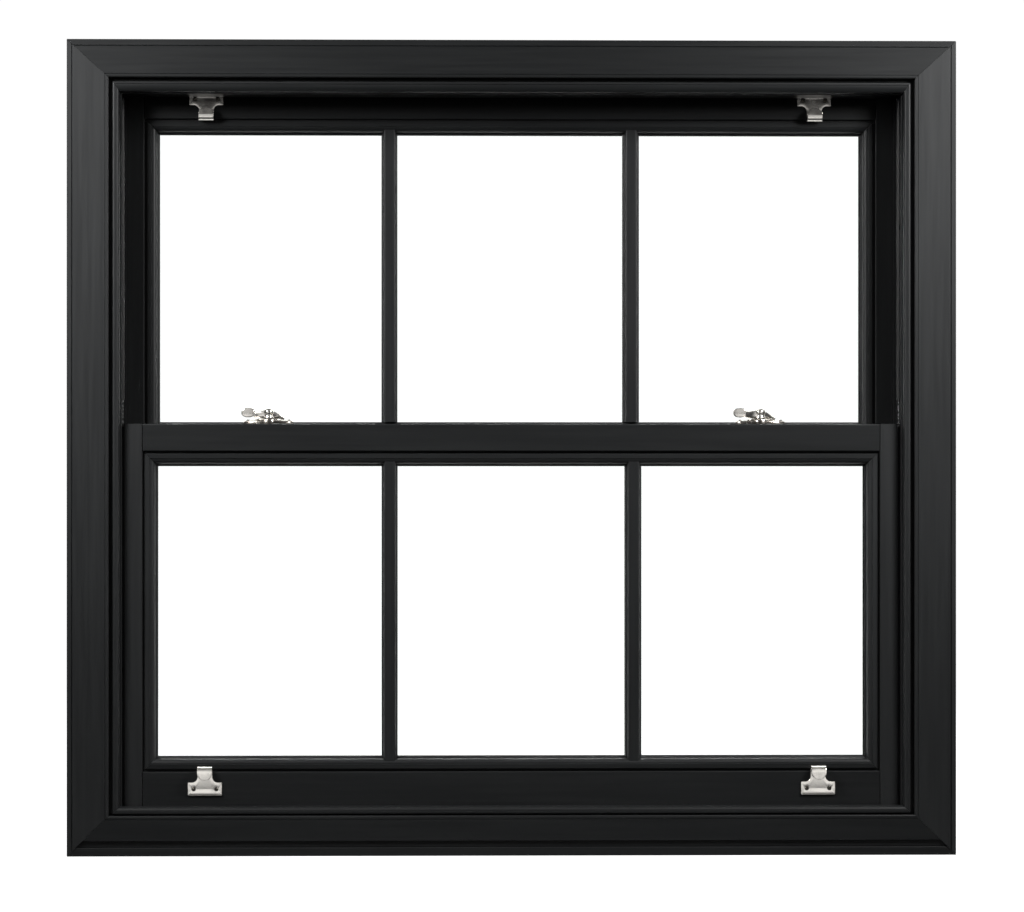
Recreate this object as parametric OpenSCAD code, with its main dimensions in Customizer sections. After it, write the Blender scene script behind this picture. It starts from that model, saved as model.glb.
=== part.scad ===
// Vertical sliding sash window in its outer frame: two glazed sashes, spiral balances,
// hook lifts and two rotary fasteners. Millimetres. The room is on the -Y side, +Z is up.
// The origin is on the underside of the sill, at mid width and mid depth.

/* [Outer frame] */
// Overall width of the outer frame
frame_w = 1200; // [900:1:1600]
// Overall height of the outer frame
frame_h = 1100; // [960:1:1600]
// Depth of the outer frame, from the room face to the outside face
frame_d = 136; // [132:1:170]
// Width of a jamb, from its outer edge to the track wall
jamb_w = 73; // [70:0.5:95]
// Drop of the head, from the top to the soffit over the inner track
head_drop = 72; // [70:0.5:95]
// Drop of the head over the outer track, where the upper sash runs up into it
head_pocket = 48.8; // [44:0.2:60]
// Height of the sill seat that the lower sash closes on
sill_seat = 62; // [60:0.5:80]
// Outer wall of the hollow frame profiles
wall = 2.8; // [2:0.1:3.4]
// Play that shows as a fine line where two cut profiles meet
joint_gap = 0.35; // [0.1:0.05:0.6]

/* [Sashes] */
// Thickness of a sash
sash_t = 38; // [36:0.5:44]
// Set back of the lower sash from the room face of the frame
sash_set_back = 20; // [18:0.5:26]
// Space between the two sashes
sash_space = 7; // [6:0.5:10]
// Outer wall of the hollow sash profiles
sash_wall = 2.4; // [2:0.1:3]
// Play between a sash edge and the track wall
side_play = 2.6; // [2:0.1:4]
// Face width of a stile
stile_face = 25; // [24:0.5:40]
// Face height of the bottom rail and of the top rail
rail_face = 49.8; // [44:0.2:70]
// Face height of each meeting rail
meeting_face = 37; // [32:0.5:48]
// Height of the upper glass line above the top of the lower sash
sight_step = 3.2; // [2:0.1:6]
// Height that the lower sash slides up
lower_travel = 275; // [150:1:275]

/* [Glazing] */
// Quirk between a sash profile and its glazing bead
quirk = 3.2; // [2:0.1:5]
// Width of a glazing bead, from the quirk to the gasket line
bead_w = 17; // [14:0.2:22]
// Thickness of one pane
pane_t = 4; // [3:0.5:6]
// Space between the two panes
pane_space = 10; // [8:0.5:12]
// Width of a glazing bar
bar_w = 21.7; // [18:0.1:30]

/* [Hardware] */
// Distance of each hook lift from the outer edge of its sash
lift_inset = 109.4; // [60:0.2:200]
// Distance of each fastener from the outer edge of the lower sash
fastener_inset = 189.4; // [120:0.2:260]
// Shift of the pair of fasteners from the middle
fastener_shift = 5; // [-10:1:10]
// Outer diameter of a balance tube
tube_d = 9.5; // [8:0.1:10.5]
// Outer diameter of a spiral balance rod
rod_d = 5.5; // [4:0.1:6.5]

/* [Hidden] */

$fn = 48;
fit = 0.15;                 // named clearance between pieces that seat on each other
eps = 0.5;                  // how far a cutter runs past a face
soft = 0.8;                 // small chamfer on the edges of a profile
web = 1.6;                  // inner walls of the hollow profiles

// Depths, measured from the room face of the frame
lower_y = sash_set_back;
upper_y = lower_y + sash_t + sash_space;
upper_back = upper_y + sash_t;
stop_y = upper_back + 1.3;
track_y = [lower_y + sash_t / 2, upper_y + sash_t / 2];
parting_y = lower_y + sash_t + sash_space / 2;

// Heights and widths of the sashes at rest
sash_x = frame_w / 2 - jamb_w - side_play;
lower_z = sill_seat + 0.5;
upper_top = frame_h - head_pocket - side_play;
sight = quirk + bead_w;     // from a profile's face edge to the visible glass
glass_h = (upper_top - lower_z - 2 * rail_face - meeting_face - 3 * sight - sight_step) / 2;
sash_h = rail_face + meeting_face + 2 * sight + glass_h;
lower_top = lower_z + sash_h;
upper_z = upper_top - sash_h;

// Front steps of the frame: edge strip, face, lip, groove and staff bead
strip_side = 6.5;
strip_head = 8.4;
strip_foot = 11.6;
band_h = 8.4;               // recessed band over the foot strip
band_d = 4;
lip_side = 56.4;
lip_head = 51.5;
lip_sill = 54.5;
lip_w = 5;
lip_r = 2.2;
groove_d = 12;
bead_front = 2;
staff_side = 9.5;
staff_head = 14;
staff_sill = 10;
staff_in = 2;               // the staff bead stops this far short of the track wall
staff_gap = 2;              // groove between the sill's lip and its staff bead
track_r = 1.2;              // rounding of the track wall's front edge
outer_stop = jamb_w + 7;    // how far the outside stop stands in from the frame's edge
steel_in = 90;              // how far the steel stops short of the frame's corners
foot_joint = 16;            // joint of the side strips, below the sill seat

// Balance channel in the jambs, and its edge groove in the stiles
channel_w = tube_d + 4.5;
channel_d = 9;
tube_u = jamb_w - 2;        // line of the tubes, from the outer edge
edge_groove = 3;
tube_top = frame_h - head_drop - 5;
tube_mouth = lower_top + 35;
rod_grip = 12;              // rod left inside the tube when it is drawn right out
rod_draw = tube_top - tube_mouth - rod_grip - 14;   // length of rod that a tube takes in
shoe_w = channel_w - 4;
shoe_h = 26;
shoe_rise = 8;
shoe_seat = 6;              // floor of the shoe under the rod
stop_w = channel_w - 3;
stop_h = 18;
fixing_r = 3.9;             // frame fixing holes, through the front of the inner track
fixing_y = lower_y + 6;
fixing_span = 600;
fixing_z = [(frame_h - fixing_span) / 2, (frame_h + fixing_span) / 2];

// Sash section, measured from its outer edge (s) and its room face (t)
rebate_t = 4.5;             // depth of the quirk
arris = 1.5;                // rounding of the sash edges on the room side
bead_back = 13.4;           // depth of the glazing bead
glass_t = bead_back + 1.1;  // front of the inner pane
unit_t = 2 * pane_t + pane_space;
lip_t = glass_t + unit_t + 1;
back_lip = quirk + bead_w - 1.4;
pane_in = 3;                // gap between the pane's edge and the rebate
spacer_in = 7;
spacer_w = 8;
spacer_bar_w = 16;
interlock_z = lower_top - meeting_face + 1;
interlock_x = sash_x - 30;
hook_t = 1.2;               // wall of the interlock strips

// Hardware sizes
plate_t = 2.5;
lift_w = 46;
lift_plate_h = 17.6;
lift_h = 39.4;
hook_w = 20;
shoulder_r = 7.5;            // concave shoulders between the plate and the neck
hook_r = 8;
hook_down = 10;
lift_x = sash_x - lift_inset;
lift_screws = 30.5;
lift_screw_z = 8.7;
lift_z_lower = lower_z + 17.8;          // foot of the lower lifts' plates
lift_z_upper = upper_top - 13.3;        // head of the upper lifts' plates
fastener_x = [for (s = [-1, 1]) fastener_shift + s * (sash_x - fastener_inset)];
pivot_back = sash_t - 7.5;              // pivot, from the room face of the lower sash
pivot_y = lower_y + pivot_back;
base_l = 68;
base_d = 20;
base_t = 5;
boss_r = 11.5;
boss_t = 2.2;
lip_r0 = upper_y + 0.5 - pivot_y;       // keep lip, on an arc about the lever's pivot
lip_r1 = lip_r0 + 3;
keep_t = 2.4;
keep_h = 9;
keep_l = 56;
horn_r0 = lip_r1 + 1.2;
horn_r1 = horn_r0 + 4.2;
horn_z = 5.6;
spoke_z = keep_h + 1.6;
lever_top = 21.7;
tab_w = 19;
tab_h = 13;
tab_t = 3;
tab_x = 26.2;                            // middle of the tab, from the pivot
tab_z = 15.2;
// The upper sash slides down until its top rail is just above the levers of the raised lower sash
upper_travel = upper_top - rail_face - sight - lower_top - lever_top - lower_travel - 1;
base_screw_x = 27.8;
base_screw_r = 2.8;
keep_screw_x = 22;
keep_screw_y = upper_y + 5.8 - pivot_y;
screw_hole = 1.9;
pin_r = 3;
pin_play = 0.08;
pin_h = 8;

foil = [0.14, 0.145, 0.145];
nickel = [0.78, 0.76, 0.72];
steel = [0.6, 0.62, 0.64];
rubber = [0.05, 0.05, 0.05];

// ---------------------------------------------------------------- helpers

function arc(cx, cy, r, a0, a1, n = 6) =
  [for (i = [0:n]) let (a = a0 + (a1 - a0) * i / n) [cx + r * cos(a), cy + r * sin(a)]];

// Moves depths from the room face of the frame to the part's own origin
module place() translate([0, -frame_d / 2, 0]) children();

// A section drawn as (distance inward, depth), run along Z from the left edge x
module upright(x, z0, z1) translate([x, 0, z0]) linear_extrude(z1 - z0) children();

// The same section run along X, with its outer edge on top at z
module hung(z, x0, x1) translate([x0, 0, z]) rotate([0, 90, 0]) linear_extrude(x1 - x0) children();

// The same section run along X, with its outer edge below at z
module seated(z, x0, x1) translate([0, 0, z]) mirror([0, 0, 1]) hung(0, x0, x1) children();

// A prism through the whole depth with its outline in X and Z
module through(y0, y1) translate([0, y1, 0]) rotate([90, 0, 0]) linear_extrude(y1 - y0) children();

module pair() {
  children();
  mirror([1, 0, 0]) children();
}

// ---------------------------------------------------------------- outer frame

// Room side of a frame profile: edge strip, V line, flat face, fine line, rounded lip
function face_line(strip, lip) = concat(
  [[0, 1.4], [soft / 2, 1], [strip - 0.6, 1], [strip, 2], [strip + 1.2, 0]],
  [[lip - lip_w - 0.4, 0], [lip - lip_w, 0.7], [lip - lip_w + 0.4, 0]],
  arc(lip - lip_r, lip_r, lip_r, 270, 360, 4),
  [[lip, groove_d]]);

// Front edge of the track wall, which shows beside the staff bead
function track_edge(u) = arc(u - track_r, groove_d + track_r, track_r, 270, 360, 3);

module chamber(u0, u1, y0, y1) translate([u0, y0]) square([u1 - u0, y1 - y0]);

module jamb_section() difference() {
  polygon(concat(face_line(strip_side, lip_side), track_edge(jamb_w), [
    [jamb_w, stop_y], [outer_stop, stop_y],
    [outer_stop, frame_d - 14], [outer_stop - 16, frame_d], [0, frame_d]]));
  for (y = track_y) translate([jamb_w - channel_d, y - channel_w / 2]) square([channel_d + eps, channel_w]);
  translate([jamb_w - 5.2, parting_y - 1.65]) square([5.2 + eps, 3.3]);
  chamber(wall, lip_side - wall, wall, groove_d + 2);
  chamber(wall, jamb_w - channel_d - wall, groove_d + 2 + web, parting_y - web);
  chamber(wall, jamb_w - channel_d - wall, parting_y + web, stop_y - web);
  chamber(wall, outer_stop - 20, stop_y + web, frame_d - wall);
}

module head_section() difference() {
  polygon(concat(face_line(strip_head, lip_head), track_edge(head_drop), [
    [head_drop, lower_y + sash_t + 0.5],
    [head_pocket, lower_y + sash_t + 0.5], [head_pocket, stop_y], [outer_stop, stop_y],
    [outer_stop, frame_d - 14], [outer_stop - 16, frame_d], [0, frame_d]]));
  chamber(wall, lip_head - wall, wall, groove_d + 2);
  chamber(wall, head_drop - wall, groove_d + 2 + web, lower_y + sash_t - wall);
  chamber(wall, head_pocket - wall, lower_y + sash_t, stop_y - web);
  chamber(wall, outer_stop - 20, stop_y + web, frame_d - wall);
}

module sill_section() difference() {
  polygon(concat(
    [[0, 1.4], [soft / 2, 1]],
    arc(strip_foot - 1.4, 2.4, 1.4, 270, 360, 3),
    [[strip_foot, band_d + 0.4], [strip_foot + 1.2, band_d]],
    [[strip_foot + band_h, band_d], [strip_foot + band_h + 0.8, 0]],
    [[lip_sill - lip_w - 0.4, 0], [lip_sill - lip_w, 0.7], [lip_sill - lip_w + 0.4, 0]],
    arc(lip_sill - lip_r, lip_r, lip_r, 270, 360, 4),
    [[lip_sill, groove_d], [sill_seat, groove_d], [sill_seat, parting_y], [sill_seat - 9, parting_y + 6],
     [sill_seat - 17, frame_d - 3], [sill_seat - 20, frame_d], [0, frame_d]]));
  chamber(wall, lip_sill - wall, wall + band_d, groove_d + 2);
  chamber(wall, sill_seat - wall, groove_d + 2 + web, parting_y - web);
  chamber(wall, sill_seat - 20 - wall, parting_y + web, frame_d - wall);
}

// Outline kept by a jamb: everything beside the corner cuts, on the left of the window
module jamb_keep(top, foot) polygon(concat(
  [[0, frame_h - joint_gap]],
  [for (p = top) [p[0], frame_h - p[1] - joint_gap]],
  [for (i = [len(foot) - 1:-1:0]) [foot[i][0], foot[i][1] + joint_gap]],
  [[0, joint_gap]]));

// Corner cuts as (in from the side, in from the end): past the lips, then to the track
front_cut_top = [[lip_side, lip_head], [jamb_w, head_drop], [outer_stop + 20, head_drop + 27]];
back_cut_top = [[outer_stop, outer_stop], [outer_stop + 20, outer_stop + 20]];
front_cut_foot = [[lip_side, lip_sill], [jamb_w, sill_seat], [outer_stop + 20, sill_seat + 20]];
back_cut_foot = [[outer_stop, sill_seat - 10], [outer_stop + 20, sill_seat + 2]];
split_y = lower_y + sash_t + 0.5;

module jamb() difference() {
  intersection() {
    upright(0, 0, frame_h) jamb_section();
    union() {
      through(-eps, split_y) jamb_keep(front_cut_top, front_cut_foot);
      through(split_y, frame_d + eps) jamb_keep(back_cut_top, back_cut_foot);
    }
  }
  // fine line where the edge strip is cut over the sill
  translate([-eps, -eps, sill_seat - foot_joint]) cube([strip_side + eps, 1.6 + eps, 0.5]);
  for (z = fixing_z) translate([-eps, fixing_y, z])
    rotate([0, 90, 0]) cylinder(r = fixing_r, h = jamb_w + 2 * eps);
}

// Outline kept by the head, with a corner cut at both ends
module head_keep(cut) polygon(concat(
  [[-frame_w / 2, frame_h]],
  [for (p = cut) [p[0] - frame_w / 2, frame_h - p[1]]],
  [for (i = [len(cut) - 1:-1:0]) [frame_w / 2 - cut[i][0], frame_h - cut[i][1]]],
  [[frame_w / 2, frame_h]]));

module sill_keep(cut) polygon(concat(
  [[-frame_w / 2, 0]],
  [for (p = cut) [p[0] - frame_w / 2, p[1]]],
  [for (i = [len(cut) - 1:-1:0]) [frame_w / 2 - cut[i][0], cut[i][1]]],
  [[frame_w / 2, 0]]));

module frame_head() color(foil) place() intersection() {
  hung(frame_h, -frame_w / 2, frame_w / 2) head_section();
  union() {
    through(-eps, split_y) head_keep(front_cut_top);
    through(split_y, frame_d + eps) head_keep(back_cut_top);
  }
}

module frame_sill() color(foil) place() intersection() {
  seated(0, -frame_w / 2, frame_w / 2) sill_section();
  union() {
    through(-eps, split_y) sill_keep(front_cut_foot);
    through(split_y, frame_d + eps) sill_keep(back_cut_foot);
  }
}

module frame_jamb_left() color(foil) place() translate([-frame_w / 2, 0, 0]) jamb();
module frame_jamb_right() color(foil) place() mirror([1, 0, 0]) translate([-frame_w / 2, 0, 0]) jamb();

// ---------------------------------------------------------------- staff and parting beads

// Ovolo moulding: a small fillet, then a quarter round that falls to the track
module staff_section(w, u0) polygon(concat(
  [[u0, groove_d - fit]],
  arc(u0 + 1.4, bead_front + 1.4, 1.4, 180, 270, 4),
  [[u0 + 3, bead_front]],
  [for (i = [0:10]) let (a = 9 * i) [u0 + 3.5 + (w - 3.5) * sin(a), bead_front + 0.7 + 7 * (1 - cos(a))]],
  [[u0 + w, groove_d - fit]]));

head_u0 = head_drop - staff_in - staff_head + 0.5;
side_u0 = jamb_w - staff_in - staff_side;
sill_u0 = lip_sill + staff_gap;
foot_y = groove_d - fit - eps;

// Corner of the staff beads, cut from their outer corner to their inner corner
module staff_keep_side() polygon([
  [side_u0, frame_h - head_u0 - joint_gap],
  [side_u0 + staff_side, frame_h - head_u0 - staff_head - joint_gap],
  [side_u0 + staff_side, sill_u0 + staff_sill + joint_gap],
  [side_u0, sill_u0 + joint_gap]]);

module staff_side() intersection() {
  upright(0, 0, frame_h) staff_section(staff_side, side_u0);
  through(-eps, lower_y) staff_keep_side();
}

module staff_bead_left() color(foil) place() translate([-frame_w / 2, 0, 0]) staff_side();
module staff_bead_right() color(foil) place()
  mirror([1, 0, 0]) translate([-frame_w / 2, 0, 0]) staff_side();

module staff_bead_head() color(foil) place() intersection() {
  hung(frame_h, -frame_w / 2, frame_w / 2) staff_section(staff_head, head_u0);
  through(-eps, lower_y) polygon([
    [side_u0 - frame_w / 2, frame_h - head_u0], [frame_w / 2 - side_u0, frame_h - head_u0],
    [frame_w / 2 - side_u0 - staff_side, frame_h - head_u0 - staff_head],
    [side_u0 + staff_side - frame_w / 2, frame_h - head_u0 - staff_head]]);
}

module staff_bead_sill() color(foil) place() intersection() {
  union() {
    seated(0, -frame_w / 2, frame_w / 2) staff_section(staff_sill, sill_u0);
    // foot that rests on the seat between the jambs
    translate([fit + jamb_w - frame_w / 2, foot_y, sill_seat + fit])
      cube([frame_w - 2 * (jamb_w + fit), lower_y - 1 - foot_y, sill_u0 + staff_sill - sill_seat - fit]);
  }
  through(-eps, lower_y) polygon([
    [side_u0 - frame_w / 2, sill_u0], [frame_w / 2 - side_u0, sill_u0],
    [frame_w / 2 - side_u0 - staff_side, sill_u0 + staff_sill],
    [side_u0 + staff_side - frame_w / 2, sill_u0 + staff_sill]]);
}

// T shaped strip between the tracks, its tail in a groove of the jamb
module parting_section() union() {
  translate([jamb_w + fit, parting_y - 2.8]) square([3.6, 5.6]);
  translate([jamb_w - 4.6, parting_y - 1.5]) square([5, 3]);
}

module parting_beads() color(foil) place() pair()
  translate([-frame_w / 2, 0, 0])
    upright(0, sill_seat + 0.6, frame_h - head_drop - 0.4) parting_section();

// ---------------------------------------------------------------- frame reinforcement

// Open steel channel that lies in the middle chamber of each frame profile
module steel_channel(u0, u1, y0, y1, t = 1.5) difference() {
  translate([u0, y0]) square([u1 - u0, y1 - y0]);
  translate([u0 + t, y0 + t]) square([u1 - u0, y1 - y0 - 2 * t]);
}

steel_y0 = fixing_y + fixing_r + 1;
steel_y1 = parting_y - web - fit;

module frame_steel() color(steel) place() {
  pair() translate([-frame_w / 2, 0, 0])
    upright(0, steel_in, frame_h - steel_in)
      steel_channel(wall + fit, jamb_w - channel_d - wall - 2, steel_y0, steel_y1);
  hung(frame_h, steel_in - frame_w / 2, frame_w / 2 - steel_in)
    steel_channel(wall + fit, head_drop - wall - 2, groove_d + web + 4, lower_y + sash_t - wall - fit);
  seated(0, steel_in - frame_w / 2, frame_w / 2 - steel_in)
    steel_channel(wall + fit, sill_seat - wall - 2, groove_d + web + 4, steel_y1);
}

// ---------------------------------------------------------------- spiral balances

module at_tubes() for (y = track_y) pair() translate([tube_u - frame_w / 2, y, 0]) children();

tube_bore = tube_d - 1.6;

module balance_tubes() color(steel) place() at_tubes() translate([0, 0, tube_mouth]) difference() {
  cylinder(d = tube_d, h = tube_top - tube_mouth);
  translate([0, 0, -eps]) cylinder(d = tube_bore, h = tube_top - tube_mouth + 2 * eps);
}

// Nylon bush in the mouth of each tube, which the rod slides through
module balance_bushes() color("white") place() at_tubes() translate([0, 0, tube_mouth - 2.2]) difference() {
  union() {
    cylinder(d = tube_d, h = 2.05);
    cylinder(d = tube_bore - 2 * fit, h = 11);
  }
  translate([0, 0, -eps]) cylinder(d = rod_d + 2 * fit, h = 13);
}

// Plug in the top of each tube, with an ear that is screwed to the floor of the channel
hanger_back = tube_u - jamb_w + channel_d - fit;
module balance_hangers() color("white") place() at_tubes() {
  translate([0, 0, tube_top - 12]) cylinder(d = tube_bore - 2 * fit, h = 12 + fit);
  translate([-hanger_back, -shoe_w / 2, tube_top + fit]) cube([hanger_back + 4, shoe_w, 3]);
  translate([-hanger_back, -shoe_w / 2, tube_top - 24])
    cube([hanger_back - tube_d / 2 - fit, shoe_w, 24 + fit]);
}

// Blocks in the balance channels that the shoes meet at the end of their travel
stop_gap = 0.4;
lower_stop_z = lower_z + shoe_rise + shoe_h + lower_travel + stop_gap;
upper_stop_z = upper_z + shoe_rise - upper_travel - stop_h - stop_gap;
module travel_stops() color(rubber) place() pair() translate([-frame_w / 2, 0, 0]) {
  translate([jamb_w - channel_d + fit, track_y[0] - stop_w / 2, lower_stop_z]) difference() {
    cube([channel_d - 2 * fit, stop_w, stop_h]);
    // slot that the rod passes through
    translate([tube_u - jamb_w + channel_d - rod_d / 2 - 1, (stop_w - rod_d) / 2 - 0.6, -eps])
      cube([channel_d, rod_d + 1.2, stop_h + 2 * eps]);
  }
  translate([jamb_w - channel_d + fit, track_y[1] - stop_w / 2, upper_stop_z])
    cube([channel_d - 2 * fit, stop_w, stop_h]);
}

// ---------------------------------------------------------------- sashes

// Hollow sash profile: face, quirk, glazing rebate and the outside lip
module sash_section(face, edge = 0) difference() {
  polygon(concat(arc(arris, arris, arris, 180, 270, 3), arc(face - arris, arris, arris, 270, 360, 3), [
    [face, rebate_t],
    [face + quirk, rebate_t], [face + quirk, lip_t], [face + back_lip, lip_t],
    [face + back_lip, sash_t - 1.2], [face + back_lip - 1.2, sash_t], [soft, sash_t], [0, sash_t - soft]]));
  if (edge > 0) translate([-eps, sash_t / 2 - channel_w / 2]) square([edge + eps, channel_w]);
  chamber(edge + sash_wall, face - sash_wall, sash_wall, sash_t - sash_wall);
}

// A stile runs the full height; its rebate is cut back where the rails meet it
module stile(z0, low, high) difference() {
  upright(-sash_x, z0, z0 + sash_h) sash_section(stile_face, edge_groove);
  translate([stile_face - sash_x, -eps, z0 - eps])
    cube([back_lip + eps, sash_t + 2 * eps, low + quirk + joint_gap + eps]);
  translate([stile_face - sash_x, lip_t - fit, z0 - eps])
    cube([back_lip + eps, sash_t, low + back_lip + joint_gap + eps]);
  translate([stile_face - sash_x, -eps, z0 + sash_h - high - quirk - joint_gap])
    cube([back_lip + eps, sash_t + 2 * eps, high + quirk + joint_gap + eps]);
  translate([stile_face - sash_x, lip_t - fit, z0 + sash_h - high - back_lip - joint_gap])
    cube([back_lip + eps, sash_t, high + back_lip + joint_gap + eps]);
}

rail_x = sash_x - stile_face - joint_gap;

// Ovolo face of a glazing bead, with q measured inward from the quirk
bead_flat = 6.4;
bead_nose = bead_w - 3;
gasket_show = 0.8;
function bead_line(grow = 0) = concat(
  [[fit - grow, 1.8], [soft + fit, 1 - grow], [bead_flat, 1 - grow], [bead_flat + 0.5 + grow, 1.9 - grow]],
  [for (i = [0:8]) let (a = 11.25 * i)
    [bead_flat + 0.5 + grow + (bead_nose - bead_flat - 0.5) * sin(a), 1.9 - grow + 7.6 * (1 - cos(a))]],
  [[bead_nose + 0.6 + grow, 10.3 - grow], [bead_w - gasket_show + grow, 11 - grow]]);

module bead_section() polygon(concat([[fit, bead_back]], bead_line(), [[bead_w - gasket_show, bead_back]]));

// Square bead of the upper meeting rail: its flat top carries the fastener keeps
ledge = lower_top - upper_z - meeting_face - quirk;
module ledge_section() polygon([
  [fit, bead_back], [fit, 1.1], [soft + fit, 0.4], [ledge - 0.6, 0.4], [ledge, 1],
  [ledge, bead_back - 2.4], [bead_w - gasket_show, bead_back - 1.4], [bead_w - gasket_show, bead_back]]);

// Rectangle of the quirk line of a sash: [half width, low, high]
function quirk_box(z0, low, high) =
  [sash_x - stile_face - quirk, z0 + low + quirk, z0 + sash_h - high - quirk];

mitre = bead_w + 20;         // length of a mitre cut, past the bead
module bead_side(box) intersection() {
  upright(-box[0], box[1], box[2]) bead_section();
  through(-eps, sash_t) polygon([
    [-box[0], box[2] - joint_gap], [mitre - box[0], box[2] - mitre - joint_gap],
    [mitre - box[0], box[1] + mitre + joint_gap], [-box[0], box[1] + joint_gap]]);
}

module bead_top(box) intersection() {
  hung(box[2], -box[0], box[0]) bead_section();
  through(-eps, sash_t) polygon([
    [-box[0], box[2]], [box[0], box[2]],
    [box[0] - mitre, box[2] - mitre], [mitre - box[0], box[2] - mitre]]);
}

module bead_foot(box, square_top = false) intersection() {
  seated(box[1], -box[0], box[0]) {
    if (square_top) ledge_section();
    else bead_section();
  }
  through(-eps, sash_t) polygon([
    [-box[0], box[1]], [box[0], box[1]],
    [box[0] - mitre, box[1] + mitre], [mitre - box[0], box[1] + mitre]]);
}

// A flat ring or sheet whose edge lies d inside the quirk line
module sheet(box, d, t0, t1) translate([d - box[0], t0, box[1] + d])
  cube([2 * (box[0] - d), t1 - t0, box[2] - box[1] - 2 * d]);

module ring(box, d0, d1, t0, t1) difference() {
  sheet(box, d0, t0, t1);
  sheet(box, d1, t0 - eps, t1 + eps);
}

bar_x = (sash_x - stile_face - quirk) / 3;     // the bars divide the width inside the quirks in three

// Glazing bar: moulded front, ends scribed over the glazing beads
bar_front = 2.8;
function bar_half() = concat(
  [[bar_w / 2, glass_t - fit], [bar_w / 2, 12.4]],
  [for (i = [0:6]) let (a = 15 * i) [bar_w / 2 - 3 * sin(a), 11.4 - 6 * (1 - cos(a)) * 0.8]],
  arc(bar_w / 2 - 5.2, bar_front + 2, 2, 0, -90, 4));

module bar_section() {
  half = bar_half();
  polygon(concat(half, [for (i = [len(half) - 1:-1:0]) [-half[i][0], half[i][1]]]));
}

module scribe() polygon(concat(
  [[-30, glass_t + eps], [-30, 1.8]], bead_line(fit),
  [[bead_w + fit, 11 - fit], [bead_w + fit, glass_t + eps]]));

module bars_inside(box, square_foot = false) pair() difference() {
  upright(-bar_x, box[1] + fit, box[2] - fit) bar_section();
  hung(box[2], -bar_x - bar_w, bar_w - bar_x) scribe();
  seated(box[1], -bar_x - bar_w, bar_w - bar_x) {
    if (square_foot) translate([-30, -eps]) square([30 + bead_w + fit, glass_t + 2 * eps]);
    else scribe();
  }
}

module bars_outside(box) pair()
  translate([-bar_x, 0, box[1] + back_lip - quirk + 1])
    linear_extrude(box[2] - box[1] - 2 * (back_lip - quirk + 1))
      polygon([
        [-bar_w / 2, lip_t - 1 + fit], [bar_w / 2, lip_t - 1 + fit], [bar_w / 2, lip_t + 1.5],
        [bar_w / 2 - 4, sash_t - 0.6], [4 - bar_w / 2, sash_t - 0.6], [-bar_w / 2, lip_t + 1.5]]);

// Spacer frame between the panes, with a bar behind each glazing bar
module spacer(box) {
  t0 = glass_t + pane_t + 0.05;
  t1 = t0 + pane_space - 0.1;
  ring(box, spacer_in, spacer_in + spacer_w, t0, t1);
  pair() translate([-bar_x - spacer_bar_w / 2, t0, box[1] + spacer_in + 1])
    cube([spacer_bar_w, t1 - t0, box[2] - box[1] - 2 * (spacer_in + 1)]);
}

module gaskets(box) {
  ring(box, bead_nose - 1, bead_w, bead_back + 0.05, glass_t - 0.05);
  ring(box, pane_in, back_lip - quirk + 0.8, glass_t + unit_t + 0.05, lip_t - 0.05);
}

// Steel in the sash profiles: a bar in each stile and rail
module sash_steel(z0, low, high) {
  t0 = sash_wall + 2.6;
  t1 = sash_t - t0;
  u0 = sash_wall + fit;
  u1 = sash_wall + 1;
  pair() upright(-sash_x, z0 + 40, z0 + sash_h - 40)
    steel_channel(edge_groove + u0, stile_face - u1, t0, t1);
  seated(z0, 30 - rail_x, rail_x - 30) steel_channel(u0, low - u1, t0, t1);
  hung(z0 + sash_h, 30 - rail_x, rail_x - 30) steel_channel(u0, high - u1, t0, t1);
}

// Brush strips on both edges of each stile
pile_w = 4.8;
module pile_seals(z0) pair() for (t = [3, sash_t - 3 - pile_w])
  translate([-sash_x - side_play + 0.3, t, z0 + 4]) cube([side_play - 0.3 - 0.05, pile_w, sash_h - 8]);

// Block in the foot of each stile that carries the rod and runs in the channel
shoe_play = 0.6;
shoe_u0 = jamb_w - channel_d + shoe_play;
module shoes(z0, track) pair() translate([-frame_w / 2, track, z0 + shoe_rise]) difference() {
  translate([shoe_u0, -shoe_w / 2, 0])
    cube([jamb_w + side_play + edge_groove - fit - shoe_u0, shoe_w, shoe_h]);
  translate([tube_u, 0, shoe_seat]) cylinder(d = rod_d + 0.1, h = shoe_h);
}

module rods(z0, z1, track) {
  foot = z0 + shoe_rise + shoe_seat + 0.1;
  pair() translate([tube_u - frame_w / 2, track, foot]) cylinder(d = rod_d, h = z1 - foot);
}

// ---------------------------------------------------------------- lifts and screws

// Hook lift: a wide screw plate, a necked strip and a curl for the fingers. Drawn with
// its back on y = 0, its foot on z = 0 and the hook uppermost
module lift_outline() {
  neck_z = lift_plate_h + shoulder_r;
  difference() {
    union() {
      translate([-lift_w / 2, 0]) square([lift_w, lift_plate_h]);
      translate([-hook_w / 2 - shoulder_r, lift_plate_h - 1])
        square([hook_w + 2 * shoulder_r, shoulder_r + 1]);
      translate([-hook_w / 2, neck_z - 1]) square([hook_w, lift_h - hook_r - neck_z + 1]);
    }
    for (s = [-1, 1]) translate([s * (hook_w / 2 + shoulder_r), neck_z]) circle(r = shoulder_r);
  }
}

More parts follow.
